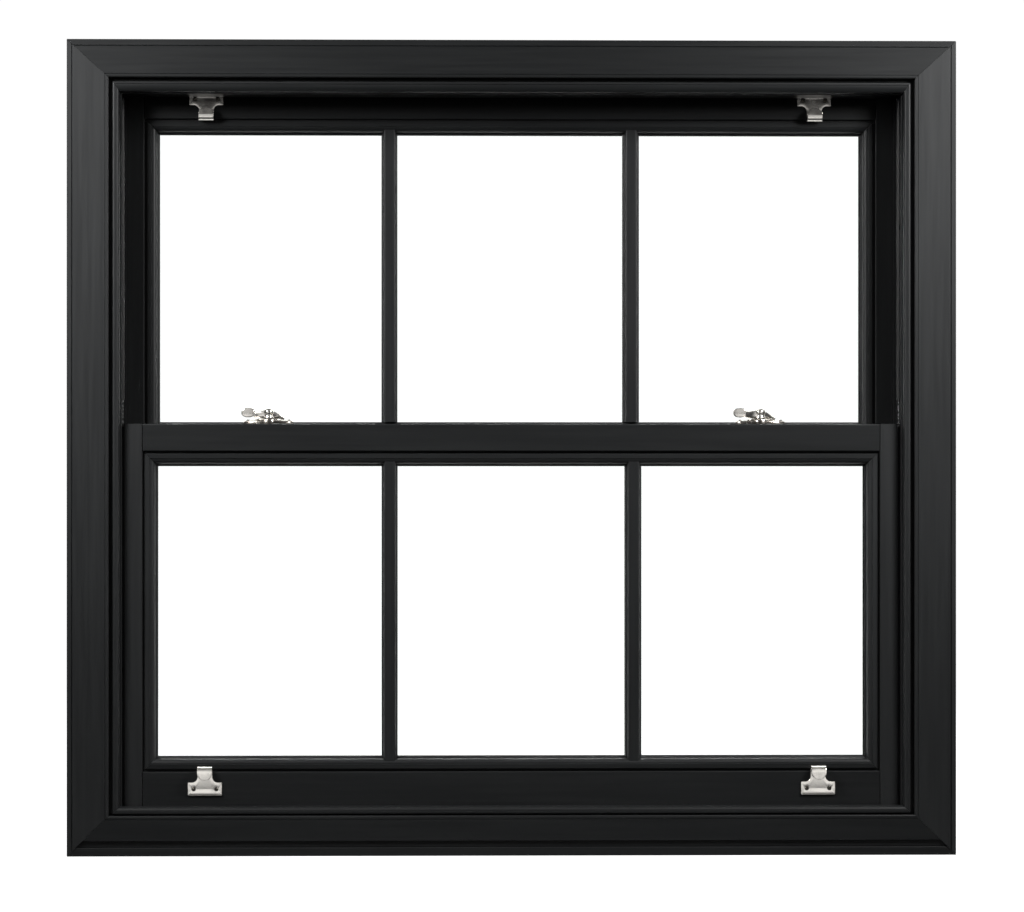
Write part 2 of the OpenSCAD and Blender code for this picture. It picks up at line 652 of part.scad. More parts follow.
module lift() difference() {
  union() {
    rotate([90, 0, 0]) linear_extrude(plate_t) lift_outline();
    // bend of the strip, as a half ring about a line along X
    translate([-hook_w / 2, -hook_r, lift_h - hook_r]) rotate([0, 90, 0]) difference() {
      cylinder(r = hook_r, h = hook_w);
      translate([0, 0, -eps]) cylinder(r = hook_r - plate_t, h = hook_w + 2 * eps);
      translate([0, -hook_r - eps, -eps]) cube([hook_r + eps, 2 * (hook_r + eps), hook_w + 2 * eps]);
    }
    // free end of the hook, rounded at its tip
    translate([0, -2 * hook_r + plate_t, 0]) rotate([90, 0, 0]) linear_extrude(plate_t) intersection() {
      translate([-hook_w / 2, lift_h - hook_r - hook_down]) square([hook_w, hook_down]);
      translate([0, lift_h - hook_r]) circle(r = hook_w / 2);
    }
  }
  for (s = [-1, 1]) translate([s * lift_screws / 2, eps, lift_screw_z])
    rotate([90, 0, 0]) cylinder(r = screw_hole, h = plate_t + 2 * eps);
}

// Raised head screw that stands up from z = 0, with its shank below
module screw(r_head, h_head, shank, r_shank) {
  cylinder(r = r_head, h = h_head);
  translate([0, 0, -shank]) cylinder(r = r_shank, h = shank + eps / 2);
}

module at_lift_screws() for (x = [-lift_x, lift_x], s = [-1, 1])
  translate([x + s * lift_screws / 2, 0, 0]) children();

// ---------------------------------------------------------------- fasteners

// Lens shaped base, widened round the pivot, with a pin that carries the lever
module base_outline() union() {
  intersection() {
    translate([0, -base_l * 0.72]) circle(r = base_l * 0.88);
    translate([0, base_l * 0.72]) circle(r = base_l * 0.88);
    square([base_l, base_d], center = true);
  }
  circle(r = boss_r);
}

module fastener_base() difference() {
  union() {
    linear_extrude(base_t) base_outline();
    cylinder(r = boss_r - 2, h = base_t + boss_t);
    cylinder(r = pin_r, h = base_t + boss_t + pin_h);
  }
  for (s = [-1, 1]) translate([s * base_screw_x, 0, -eps]) cylinder(r = screw_hole, h = base_t + 2 * eps);
  // straight back edge, flush with the back of the meeting rail
  translate([-base_l / 2, sash_t - pivot_back, -eps]) cube([base_l, base_d, lever_top]);
}

// Lever: domed hub, thumb tab to the left, and a curved horn that turns behind the keep
hub_r = 7.4;
hub_z = base_t + boss_t + 0.2;
dome_z = lever_top - 5.6;
module hub() rotate_extrude() polygon(concat(
  [[0, hub_z], [hub_r, hub_z], [hub_r, dome_z]],
  [for (i = [1:6]) let (a = 15 * i) [hub_r * cos(a), dome_z + (lever_top - dome_z) * sin(a)]]));

module lever() {
  difference() {
    union() {
      hub();
      // arm to the thumb tab
      translate([-20, -2, 12]) cube([16, 4, 4.2]);
      // spoke over the keep lip
      translate([0, 0, spoke_z]) ring_sector(4, horn_r0 + 1.8, 35, 75, 3.4);
    }
    translate([0, 0, hub_z - eps]) cylinder(r = pin_r + pin_play, h = pin_h + 0.6 + eps);
  }
  translate([-tab_x, tab_t / 2, tab_z]) rotate([90, 0, 0]) tab();
  // horn that hangs behind the lip
  translate([0, 0, horn_z]) ring_sector(horn_r0, horn_r1, 15, 105, spoke_z + 3.8 - horn_z);
}

// Oval paddle with true round ends
module tab() linear_extrude(tab_t) union() {
  square([tab_w - tab_h, tab_h], center = true);
  for (s = [-1, 1]) translate([s * (tab_w - tab_h) / 2, 0]) circle(r = tab_h / 2);
}

module ring_sector(r0, r1, a0, a1, h) linear_extrude(h) polygon(concat(
  [for (i = [0:12]) let (a = a0 + (a1 - a0) * i / 12) [r1 * cos(a), r1 * sin(a)]],
  r0 > 0 ? [for (i = [12:-1:0]) let (a = a0 + (a1 - a0) * i / 12) [r0 * cos(a), r0 * sin(a)]] : [[0, 0]]));

// Keep: a plate on the ledge bead, with a curved lip about the lever's pivot
module keep() {
  difference() {
    union() {
      translate([-keep_l / 2, lip_r0, 0]) cube([keep_l, bead_back - 3.2, keep_t]);
      ring_sector(lip_r0, lip_r1, 58, 122, keep_h);
    }
    for (s = [-1, 1]) translate([s * keep_screw_x, keep_screw_y, -eps])
      cylinder(r = screw_hole, h = keep_t + 2 * eps);
  }
}

module at_fasteners() for (x = fastener_x) translate([x, pivot_y, lower_top + 0.05]) children();

// ---------------------------------------------------------------- lower sash

lower_box = quirk_box(lower_z, rail_face, meeting_face);
module at_lower() translate([0, lower_y, 0]) children();

module lower_stile_left() color(foil) place() at_lower() stile(lower_z, rail_face, meeting_face);
module lower_stile_right() color(foil) place() at_lower()
  mirror([1, 0, 0]) stile(lower_z, rail_face, meeting_face);
module lower_meeting_rail() color(foil) place() at_lower()
  hung(lower_top, -rail_x, rail_x) sash_section(meeting_face);
module lower_bottom_rail() color(foil) place() at_lower()
  seated(lower_z, -rail_x, rail_x) sash_section(rail_face);
module lower_bead_top() color(foil) place() at_lower() bead_top(lower_box);
module lower_bead_bottom() color(foil) place() at_lower() bead_foot(lower_box);
module lower_bead_left() color(foil) place() at_lower() bead_side(lower_box);
module lower_bead_right() color(foil) place() at_lower() mirror([1, 0, 0]) bead_side(lower_box);
module lower_glass_inner() color("lightblue", 0.3) place() at_lower()
  sheet(lower_box, pane_in, glass_t, glass_t + pane_t);
module lower_glass_outer() color("lightblue", 0.3) place() at_lower()
  sheet(lower_box, pane_in, glass_t + pane_t + pane_space, glass_t + unit_t);
module lower_spacer() color(rubber) place() at_lower() spacer(lower_box);
module lower_gaskets() color(rubber) place() at_lower() gaskets(lower_box);
module lower_bars_inside() color(foil) place() at_lower() bars_inside(lower_box);
module lower_bars_outside() color(foil) place() at_lower() bars_outside(lower_box);
module lower_steel() color(steel) place() at_lower() sash_steel(lower_z, rail_face, meeting_face);
module lower_pile_seals() color(rubber) place() at_lower() pile_seals(lower_z);
module lower_balance_rods() color(steel) place() rods(lower_z, tube_mouth + rod_grip, track_y[0]);
module lower_balance_shoes() color("white") place() shoes(lower_z, track_y[0]);

// Hooked strip on the back of the meeting rail, its lip pointing down
module lower_interlock() color(foil) place()
  translate([-interlock_x, lower_y + sash_t + 0.05, interlock_z]) {
    cube([2 * interlock_x, hook_t, 20]);
    translate([0, 0, 18]) cube([2 * interlock_x, sash_space - 3 + hook_t, 2]);
    translate([0, sash_space - 3, 8]) cube([2 * interlock_x, hook_t, 12]);
  }

module lower_lifts() color(nickel) place() for (x = [-lift_x, lift_x])
  translate([x, lower_y - 0.05, lift_z_lower]) lift();

module lower_screws() color(nickel) place() {
  translate([0, lower_y - plate_t - 0.1, lift_z_lower + lift_screw_z])
    at_lift_screws() rotate([90, 0, 0]) screw(3.4, 1.2, plate_t - 0.5, 1.7);
  at_fasteners() for (s = [-1, 1]) translate([s * base_screw_x, 0, base_t + 0.05])
    screw(base_screw_r, 1, base_t, 1.7);
}

// ---------------------------------------------------------------- upper sash

upper_box = quirk_box(upper_z, meeting_face, rail_face);
module at_upper() translate([0, upper_y, 0]) children();

module upper_stile_left() color(foil) place() at_upper() stile(upper_z, meeting_face, rail_face);
module upper_stile_right() color(foil) place() at_upper()
  mirror([1, 0, 0]) stile(upper_z, meeting_face, rail_face);
module upper_top_rail() color(foil) place() at_upper()
  hung(upper_top, -rail_x, rail_x) sash_section(rail_face);
module upper_meeting_rail() color(foil) place() at_upper()
  seated(upper_z, -rail_x, rail_x) sash_section(meeting_face);
module upper_bead_top() color(foil) place() at_upper() bead_top(upper_box);
module upper_bead_bottom() color(foil) place() at_upper() bead_foot(upper_box, square_top = true);
module upper_bead_left() color(foil) place() at_upper() bead_side(upper_box);
module upper_bead_right() color(foil) place() at_upper() mirror([1, 0, 0]) bead_side(upper_box);
module upper_glass_inner() color("lightblue", 0.3) place() at_upper()
  sheet(upper_box, pane_in, glass_t, glass_t + pane_t);
module upper_glass_outer() color("lightblue", 0.3) place() at_upper()
  sheet(upper_box, pane_in, glass_t + pane_t + pane_space, glass_t + unit_t);
module upper_spacer() color(rubber) place() at_upper() spacer(upper_box);
module upper_gaskets() color(rubber) place() at_upper() gaskets(upper_box);
module upper_bars_inside() color(foil) place() at_upper() bars_inside(upper_box, square_foot = true);
module upper_bars_outside() color(foil) place() at_upper() bars_outside(upper_box);
module upper_steel() color(steel) place() at_upper() sash_steel(upper_z, meeting_face, rail_face);
module upper_pile_seals() color(rubber) place() at_upper() pile_seals(upper_z);
module upper_balance_rods() color(steel) place()
  rods(upper_z, tube_mouth + rod_grip + rod_draw, track_y[1]);
module upper_balance_shoes() color("white") place() shoes(upper_z, track_y[1]);

// Hooked strip on the front of the meeting rail, its lip pointing up
module upper_interlock() color(foil) place()
  translate([-interlock_x, upper_y - hook_t - 0.05, interlock_z - 12]) {
    cube([2 * interlock_x, hook_t, 20]);
    translate([0, 3.05 - sash_space, 0]) cube([2 * interlock_x, sash_space - 2, 2]);
    translate([0, 3.05 - sash_space, 0]) cube([2 * interlock_x, hook_t, 24]);
  }

module upper_lifts() color(nickel) place() for (x = [-lift_x, lift_x])
  translate([x, upper_y - 0.05, lift_z_upper]) mirror([0, 0, 1]) lift();

module upper_screws() color(nickel) place() {
  translate([0, upper_y - plate_t - 0.1, lift_z_upper - lift_screw_z])
    at_lift_screws() rotate([90, 0, 0]) screw(3.4, 1.2, plate_t - 0.5, 1.7);
  at_fasteners() for (s = [-1, 1]) translate([s * keep_screw_x, keep_screw_y, keep_t + 0.05])
    screw(3, 1, keep_t, 1.7);
}

// ---------------------------------------------------------------- fasteners in place

module fastener_bases() color(nickel) place() at_fasteners() fastener_base();
module fastener_keeps() color(nickel) place() at_fasteners() keep();
module fastener_lever_left() color(nickel) place()
  translate([fastener_x[0], pivot_y, lower_top + 0.05]) lever();
module fastener_lever_right() color(nickel) place()
  translate([fastener_x[1], pivot_y, lower_top + 0.05]) lever();

frame_head();
frame_jamb_left();
frame_jamb_right();
frame_sill();
staff_bead_head();
staff_bead_left();
staff_bead_right();
staff_bead_sill();
parting_beads();
frame_steel();
balance_tubes();
balance_bushes();
balance_hangers();
travel_stops();
lower_stile_left();
lower_stile_right();
lower_meeting_rail();
lower_bottom_rail();
lower_bead_top();
lower_bead_bottom();
lower_bead_left();
lower_bead_right();
lower_glass_inner();
lower_glass_outer();
lower_spacer();
lower_gaskets();
lower_bars_inside();
lower_bars_outside();
lower_steel();
lower_interlock();
lower_pile_seals();
lower_balance_rods();
lower_balance_shoes();
lower_lifts();
lower_screws();
upper_stile_left();
upper_stile_right();
upper_top_rail();
upper_meeting_rail();
upper_bead_top();
upper_bead_bottom();
upper_bead_left();
upper_bead_right();
upper_glass_inner();
upper_glass_outer();
upper_spacer();
upper_gaskets();
upper_bars_inside();
upper_bars_outside();
upper_steel();
upper_interlock();
upper_pile_seals();
upper_balance_rods();
upper_balance_shoes();
upper_lifts();
upper_screws();
fastener_bases();
fastener_lever_left();
fastener_lever_right();
fastener_keeps();
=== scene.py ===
# %% [markdown]
# # A sliding sash window in Blender
#
# The window is a foiled plastic vertical slider: an outer frame, two glazed sashes that
# slide on spiral balances, hook lifts and two small rotary fasteners. The construction is
# already made in CAD. This lesson gives every part its finish. It also rebuilds the small
# metal parts as detailed meshes: their soft edges catch the light.

import math

import bmesh
import bpy
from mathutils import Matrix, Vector


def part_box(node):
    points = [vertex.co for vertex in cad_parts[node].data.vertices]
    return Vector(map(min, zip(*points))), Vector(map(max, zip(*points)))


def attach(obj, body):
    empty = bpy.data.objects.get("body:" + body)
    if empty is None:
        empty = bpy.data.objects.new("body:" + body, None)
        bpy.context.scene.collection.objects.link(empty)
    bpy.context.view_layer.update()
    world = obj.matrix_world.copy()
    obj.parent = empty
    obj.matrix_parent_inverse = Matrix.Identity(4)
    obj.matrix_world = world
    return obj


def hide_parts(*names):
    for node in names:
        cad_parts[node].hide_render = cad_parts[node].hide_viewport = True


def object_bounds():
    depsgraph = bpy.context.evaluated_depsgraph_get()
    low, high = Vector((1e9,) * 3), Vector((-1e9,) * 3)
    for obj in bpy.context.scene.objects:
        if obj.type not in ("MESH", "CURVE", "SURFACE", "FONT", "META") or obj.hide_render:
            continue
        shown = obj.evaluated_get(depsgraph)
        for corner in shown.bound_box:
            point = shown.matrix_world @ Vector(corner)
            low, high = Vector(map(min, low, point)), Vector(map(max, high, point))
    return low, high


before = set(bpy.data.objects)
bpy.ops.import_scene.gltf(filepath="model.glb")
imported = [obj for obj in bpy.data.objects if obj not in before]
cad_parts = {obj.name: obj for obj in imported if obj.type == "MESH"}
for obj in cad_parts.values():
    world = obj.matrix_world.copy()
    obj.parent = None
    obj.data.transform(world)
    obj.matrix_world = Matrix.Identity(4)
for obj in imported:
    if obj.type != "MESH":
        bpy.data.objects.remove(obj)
cad_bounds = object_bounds()
print("CAD box", [list(c) for c in cad_bounds])

# %% [markdown]
# Sizes are written in millimetres, as a joiner would write them, and turned into metres
# when a mesh is made. Where a CAD node already says where a part sits, its box is read
# instead of typing the place again. The helpers below do the few things that every small
# part needs: skin a list of rings, turn a profile, soften the edges, keep the result.

# %% Units and small helpers
MM = 0.001
MERGE_WITHIN = 1e-6
CREASE = 35


def link(obj):
    bpy.context.scene.collection.objects.link(obj)
    return obj


def object_from(name, bm):
    """A new object from a bmesh, its faces turned outwards and its doubles merged."""
    bmesh.ops.remove_doubles(bm, verts=bm.verts, dist=MERGE_WITHIN)
    bmesh.ops.recalc_face_normals(bm, faces=bm.faces)
    mesh = bpy.data.meshes.new(name)
    bm.to_mesh(mesh)
    bm.free()
    return link(bpy.data.objects.new(name, mesh))


def smooth(mesh, angle=CREASE):
    """Shades a mesh smooth, with edges sharper than the angle left crisp."""
    mesh.shade_smooth()
    mesh.set_sharp_from_angle(angle=math.radians(angle))


def settle(obj, smooth_angle=CREASE):
    """Turns the evaluated object into a plain mesh without modifiers."""
    bpy.context.view_layer.update()
    graph = bpy.context.evaluated_depsgraph_get()
    mesh = bpy.data.meshes.new_from_object(obj.evaluated_get(graph), depsgraph=graph)
    obj.modifiers.clear()
    obj.data = mesh
    smooth(mesh, smooth_angle)
    return obj


def bevel(obj, width, segments, angle):
    """Rounds the edges that are sharper than the angle."""
    mod = obj.modifiers.new("soft edges", "BEVEL")
    mod.width = width * MM
    mod.segments = segments
    mod.limit_method = "ANGLE"
    mod.angle_limit = math.radians(angle)
    return obj


def join(name, parts):
    """One mesh object from several, with their places kept in the mesh."""
    bm = bmesh.new()
    for part in parts:
        bm.from_mesh(part.data)
        bpy.data.objects.remove(part)
    mesh = bpy.data.meshes.new(name)
    bm.to_mesh(mesh)
    bm.free()
    joined = link(bpy.data.objects.new(name, mesh))
    smooth(mesh)
    return joined


def loft(bm, rings, close_ring=True, caps=True):
    """Skins a list of rings of points, all with the same number of points."""
    rows = [[bm.verts.new(p) for p in ring] for ring in rings]
    count = len(rows[0])
    steps = count if close_ring else count - 1
    for a, b in zip(rows, rows[1:]):
        for i in range(steps):
            j = (i + 1) % count
            bm.faces.new((a[i], a[j], b[j], b[i]))
    if caps:
        bm.faces.new(rows[0])
        bm.faces.new(rows[-1])
    return rows


def spin(bm, profile, centre, segments=40):
    """Turns a profile of (radius, height) points about a vertical line through centre."""
    rings = []
    for radius, height in profile:
        ring = []
        for i in range(segments):
            a = 2 * math.pi * i / segments
            ring.append(centre + Vector((radius * math.cos(a), radius * math.sin(a), height)) * MM)
        rings.append(ring)
    loft(bm, rings)


print("helpers ready")

# %% [markdown]
# The camera stands five metres back, low and a little left of the middle, level with the
# upper part of the lower sash. It is turned only slightly, and a small lens shift does
# the rest, so the upright members stay upright as in an architectural picture.

# %% Camera
DISTANCE, EYE_X, EYE_Z = 5.0, -0.197, 0.510
TURN_RIGHT = 1.2
room_face = cad_bounds[0].y
camera_data = bpy.data.cameras.new("camera")
camera = link(bpy.data.objects.new("camera", camera_data))
camera.location = (EYE_X, room_face - DISTANCE, EYE_Z)
camera.rotation_euler = (math.radians(90), 0, -math.radians(TURN_RIGHT))
camera_data.sensor_width = 36
camera_data.lens = 130.47
camera_data.shift_x = 0.0663
camera_data.shift_y = 0.0210
camera_data.clip_end = 100
bpy.context.scene.camera = camera
bpy.context.scene.view_settings.view_transform = "Standard"
print("camera at", tuple(camera.location))

# %% [markdown]
# The light is that of a white studio. The backdrop is a white world, seen directly and
# through the glass, while what falls on the window from that world is dimmer. A tall soft
# box with a grid stands at each side, above eye level: the pair rakes the upright members
# and leaves the track under the head in shade. A weak box overhead and one behind the
# window, for the views from outside, finish the set.

# %% World, floor and soft boxes
BACKDROP = 1.02
FILL = 0.05
THROUGH_GLASS = 1.12
FLOOR_REACH, FLOOR_GREY = 30, (0.2, 0.2, 0.2)
SIDE_X, SIDE_Y, SIDE_Z = 1.25, -0.95, 1.55
SIDE_AIM_X, SIDE_AIM_Z, SIDE_SIZE, SIDE_SPREAD = 0.4, 0.75, (0.35, 0.8), 70
CENTRE = (0, 0, 0.6)


def seen_directly(tree):
    """1 for camera rays, a little more for rays through glass, 0 for rays that light the window.

    The extra makes up for what the four glass surfaces reflect, so the backdrop stays white.
    """
    path = tree.nodes.new("ShaderNodeLightPath")
    gain = tree.nodes.new("ShaderNodeMath")
    gain.operation = "MULTIPLY"
    gain.inputs[1].default_value = THROUGH_GLASS
    tree.links.new(path.outputs["Is Transmission Ray"], gain.inputs[0])
    either = tree.nodes.new("ShaderNodeMath")
    either.operation = "MAXIMUM"
    tree.links.new(path.outputs["Is Camera Ray"], either.inputs[0])
    tree.links.new(gain.outputs[0], either.inputs[1])
    return either.outputs[0]


def world_light():
    world = bpy.data.worlds.new("studio")
    world.use_nodes = True
    tree = world.node_tree
    background = tree.nodes["Background"]
    background.inputs["Color"].default_value = (1, 1, 1, 1)
    strength = tree.nodes.new("ShaderNodeMapRange")
    strength.clamp = False
    strength.inputs["To Min"].default_value = FILL
    strength.inputs["To Max"].default_value = BACKDROP
    tree.links.new(seen_directly(tree), strength.inputs["Value"])
    tree.links.new(strength.outputs[0], background.inputs["Strength"])
    bpy.context.scene.world = world


def floor_plane():
    bm = bmesh.new()
    bmesh.ops.create_grid(bm, x_segments=1, y_segments=1, size=FLOOR_REACH)
    floor = object_from("floor", bm)
    material = bpy.data.materials.new("pale_floor")
    material.use_nodes = True
    tree = material.node_tree
    shader = tree.nodes["Principled BSDF"]
    shader.inputs["Base Color"].default_value = (*FLOOR_GREY, 1)
    shader.inputs["Roughness"].default_value = 0.9
    shader.inputs["Specular IOR Level"].default_value = 0.1
    shader.inputs["Emission Color"].default_value = (1, 1, 1, 1)
    glow = tree.nodes.new("ShaderNodeMath")
    glow.operation = "MULTIPLY"
    glow.inputs[1].default_value = BACKDROP
    tree.links.new(seen_directly(tree), glow.inputs[0])
    tree.links.new(glow.outputs[0], shader.inputs["Emission Strength"])
    floor.data.materials.append(material)
    return floor


def soft_box(name, place, aim, size, power, spread=180):
    """An area light; a narrow spread is a box with a grid in front."""
    data = bpy.data.lights.new(name, "AREA")
    data.spread = math.radians(spread)
    data.shape = "RECTANGLE"
    data.size, data.size_y = size
    data.energy = power
    light = link(bpy.data.objects.new(name, data))
    light.location = place
    light.rotation_mode = "QUATERNION"
    light.rotation_quaternion = (Vector(aim) - Vector(place)).to_track_quat("-Z", "Y")
    light.visible_camera = False
    return light


world_light()
floor_plane()
for name, side, power in (("soft_box_left", -1, 7.4), ("soft_box_right", 1, 7.6)):
    soft_box(name, (side * SIDE_X, SIDE_Y, SIDE_Z), (side * SIDE_AIM_X, 0, SIDE_AIM_Z), SIDE_SIZE, power,
             spread=SIDE_SPREAD)
soft_box("soft_box_top", (0, -1.2, 2.4), CENTRE, size=(1.6, 0.4), power=1.5)
soft_box("soft_box_back", (0, 2.6, 2.2), CENTRE, size=(2.4, 1.6), power=60)

# %% [markdown]
# Polished metal shows what stands in front of it. Upright cards in front of the window
# are what the lifts and the levers mirror. The dark gap between left and right draws the
# bands on the round hubs, and a gap at the height of the meeting rail keeps dark lines in
# the levers. Light linking keeps the cards off the foil: they fall only on the pieces of
# a collection that the bright parts join when they are made.

# %% Cards for the metal
BRIGHT_METAL = bpy.data.collections.new("bright_metal")
CARD_W, CARD_X, CARD_Y = 0.56, 0.52, -0.80
CARDS = ((0.0, 0.565, 1.0), (0.606, 1.0, 0.6))  # foot, top and brightness
for side in (-1, 1):
    x = side * CARD_X
    for low, high, glow in CARDS:
        middle, height = (low + high) / 2, high - low
        power = glow * math.pi * CARD_W * height
        card = soft_box(f"card_{side}_{low:.0f}", (x, CARD_Y, middle), (x, 0, middle),
                        (CARD_W, height), power)
        card.light_linking.receiver_collection = BRIGHT_METAL
print("cards made")

# %% [markdown]
# The profiles are covered with a charcoal foil that is embossed like planed wood. Its
# grain is fine pores and longer streaks that run along each member. The same effect is
# wanted on upright and level members, so it is one shader group: its inputs say how far
# the pattern is stretched along X and Z, and it puts out a streak mask and a height.

# %% Shader group: grain
STREAK_EDGES = (0.35, 0.68)
STREAK_RELIEF = 0.05


def group_with(name, inputs, outputs):
    """An empty shader group with named sockets: (name, type, default) and (name, type)."""
    tree = bpy.data.node_groups.new(name, "ShaderNodeTree")
    for label, kind, default in inputs:
        socket = tree.interface.new_socket(label, in_out="INPUT", socket_type=kind)
        socket.default_value = default
    for label, kind in outputs:
        tree.interface.new_socket(label, in_out="OUTPUT", socket_type=kind)
    return tree, tree.nodes.new("NodeGroupInput"), tree.nodes.new("NodeGroupOutput")


def grain_group():
    tree, given, result = group_with(
        "foil_grain",
        [("Vector", "NodeSocketVector", (0, 0, 0)), ("Stretch", "NodeSocketVector", (1, 1, 1)),
         ("Pore Scale", "NodeSocketFloat", 900.0), ("Streak Scale", "NodeSocketFloat", 70.0)],
        [("Streaks", "NodeSocketFloat"), ("Pores", "NodeSocketFloat"), ("Height", "NodeSocketFloat")])
    stretch = tree.nodes.new("ShaderNodeVectorMath")
    stretch.operation = "MULTIPLY"
    tree.links.new(given.outputs["Vector"], stretch.inputs[0])
    tree.links.new(given.outputs["Stretch"], stretch.inputs[1])

    def noise(scale_from, detail, roughness, distortion):
        node = tree.nodes.new("ShaderNodeTexNoise")
        node.inputs["Detail"].default_value = detail
        node.inputs["Roughness"].default_value = roughness
        node.inputs["Distortion"].default_value = distortion
        tree.links.new(stretch.outputs[0], node.inputs["Vector"])
        tree.links.new(given.outputs[scale_from], node.inputs["Scale"])
        return node.outputs["Fac"]

    streaks = noise("Streak Scale", detail=4.0, roughness=0.6, distortion=0.3)
    pores = noise("Pore Scale", detail=2.0, roughness=0.5, distortion=0.0)
    sharpen = tree.nodes.new("ShaderNodeMapRange")
    sharpen.inputs["From Min"].default_value = STREAK_EDGES[0]
    sharpen.inputs["From Max"].default_value = STREAK_EDGES[1]
    tree.links.new(streaks, sharpen.inputs["Value"])
    height = tree.nodes.new("ShaderNodeMath")
    height.operation = "MULTIPLY_ADD"
    height.inputs[1].default_value = STREAK_RELIEF
    tree.links.new(sharpen.outputs[0], height.inputs[0])
    tree.links.new(pores, height.inputs[2])
    tree.links.new(sharpen.outputs[0], result.inputs["Streaks"])
    tree.links.new(pores, result.inputs["Pores"])
    tree.links.new(height.outputs[0], result.inputs["Height"])
    return tree


GRAIN = grain_group()
print("group", GRAIN.name)

# %% [markdown]
# A second group gives metal, plastic and rubber the faint unevenness that stops them
# looking like computer chrome: soft cloudy smears and a finer mottle. It feeds colour,
# roughness and a very low bump.

# %% Shader group: handling marks
SMEAR_EDGES = (0.3, 0.7)


def marks_group():
    tree, given, result = group_with(
        "handling_marks",
        [("Vector", "NodeSocketVector", (0, 0, 0)), ("Smear Scale", "NodeSocketFloat", 60.0),
         ("Mottle Scale", "NodeSocketFloat", 900.0), ("Low", "NodeSocketFloat", 0.1),
         ("High", "NodeSocketFloat", 0.3)],
        [("Value", "NodeSocketFloat"), ("Mottle", "NodeSocketFloat")])
    smear = tree.nodes.new("ShaderNodeTexNoise")
    smear.inputs["Detail"].default_value = 5.0
    mottle = tree.nodes.new("ShaderNodeTexNoise")
    mottle.inputs["Detail"].default_value = 3.0
    for node, scale in ((smear, "Smear Scale"), (mottle, "Mottle Scale")):
        tree.links.new(given.outputs["Vector"], node.inputs["Vector"])
        tree.links.new(given.outputs[scale], node.inputs["Scale"])
    spread = tree.nodes.new("ShaderNodeMapRange")
    spread.inputs["From Min"].default_value = SMEAR_EDGES[0]
    spread.inputs["From Max"].default_value = SMEAR_EDGES[1]
    tree.links.new(smear.outputs["Fac"], spread.inputs["Value"])
    tree.links.new(given.outputs["Low"], spread.inputs["To Min"])
    tree.links.new(given.outputs["High"], spread.inputs["To Max"])
    tree.links.new(spread.outputs[0], result.inputs["Value"])
    tree.links.new(mottle.outputs["Fac"], result.inputs["Mottle"])
    return tree


MARKS = marks_group()
print("group", MARKS.name)

# %% [markdown]
# Each finish is a material of its own, with its Principled shader outside the groups. The
# helpers below make the parts that all of them share: the coordinates of the object, a
# group with its inputs filled in, a blend of two colours and a low relief.

# %% Material helpers
def new_material(name):
    """A material with its tree, its Principled shader and the object's own coordinates."""
    material = bpy.data.materials.new(name)
    material.use_nodes = True
    tree = material.node_tree
    coordinates = tree.nodes.new("ShaderNodeTexCoord")
    return material, tree, tree.nodes["Principled BSDF"], coordinates.outputs["Object"]


def use_group(tree, group, vector, **values):
    """A shader group with its inputs set; an underscore in a name stands for a space."""
    node = tree.nodes.new("ShaderNodeGroup")
    node.node_tree = group
    tree.links.new(vector, node.inputs["Vector"])
    for label, value in values.items():
        node.inputs[label.replace("_", " ")].default_value = value
    return node


def ramp(tree, factor, low, high):
    """A colour that goes from low to high as the factor goes from 0 to 1."""
    mix = tree.nodes.new("ShaderNodeMix")
    mix.data_type = "RGBA"
    mix.inputs["A"].default_value = (*low, 1)
    mix.inputs["B"].default_value = (*high, 1)
    tree.links.new(factor, mix.inputs["Factor"])
    return mix.outputs["Result"]


def remap(tree, value, low, high):
    """Spreads a value from 0 to 1 over low to high."""
    node = tree.nodes.new("ShaderNodeMapRange")
    node.inputs["To Min"].default_value = low
    node.inputs["To Max"].default_value = high
    tree.links.new(value, node.inputs["Value"])
    return node.outputs[0]


def bump(tree, shader, height, distance, strength):
    """Gives a shader a low relief; the distance is in metres."""
    node = tree.nodes.new("ShaderNodeBump")
    node.inputs["Distance"].default_value = distance
    node.inputs["Strength"].default_value = strength
    tree.links.new(height, node.inputs["Height"])
    tree.links.new(node.outputs[0], shader.inputs["Normal"])


# %% [markdown]
# The real foil is a printed and embossed film that is glued round every profile. One
# function makes it three times: for members that stand, for the slim glazing bars and for
# members that lie. The grain is stretched along the member. The bar and level copies get a
# darker tone and a lower sheen than the upright one: that is painted shade, so that those
# members look dimmer than the uprights under the same lamps.

# %% Foil for upright members, bars and level members
STANDS = (1.0, 1.0, 0.035)
LIES = (0.035, 1.0, 1.0)


def foil(name, stretch, sheen, dark, light):
    """A foil; stretch lengthens its grain along the member, dark and light bound its tone."""
    material, tree, shader, vector = new_material(name)
    grain = use_group(tree, GRAIN, vector, Stretch=stretch, Pore_Scale=1100.0, Streak_Scale=160.0)
    colour = ramp(tree, grain.outputs["Streaks"], dark, light)
    tree.links.new(colour, shader.inputs["Base Color"])
    roughness = remap(tree, grain.outputs["Streaks"], low=0.38, high=0.42)
    tree.links.new(roughness, shader.inputs["Roughness"])
    shader.inputs["Specular IOR Level"].default_value = sheen
    bump(tree, shader, grain.outputs["Height"], distance=0.00004, strength=0.3)
    return material


foil_upright = foil("foil_upright", STANDS, 0.5, (0.0125, 0.0132, 0.0138), (0.0160, 0.0170, 0.0175))
# painted shade: the bar and level foils are darker copies of the upright foil, with less sheen
foil_bars_painted_shade = foil("foil_bars_painted_shade", STANDS, 0.36, (0.0110, 0.0116, 0.0121), (0.0140, 0.0149, 0.0154))
foil_level_painted_shade = foil("foil_level_painted_shade", LIES, 0.28, (0.0102, 0.0108, 0.0113), (0.0131, 0.0139, 0.0143))
print("foils made")
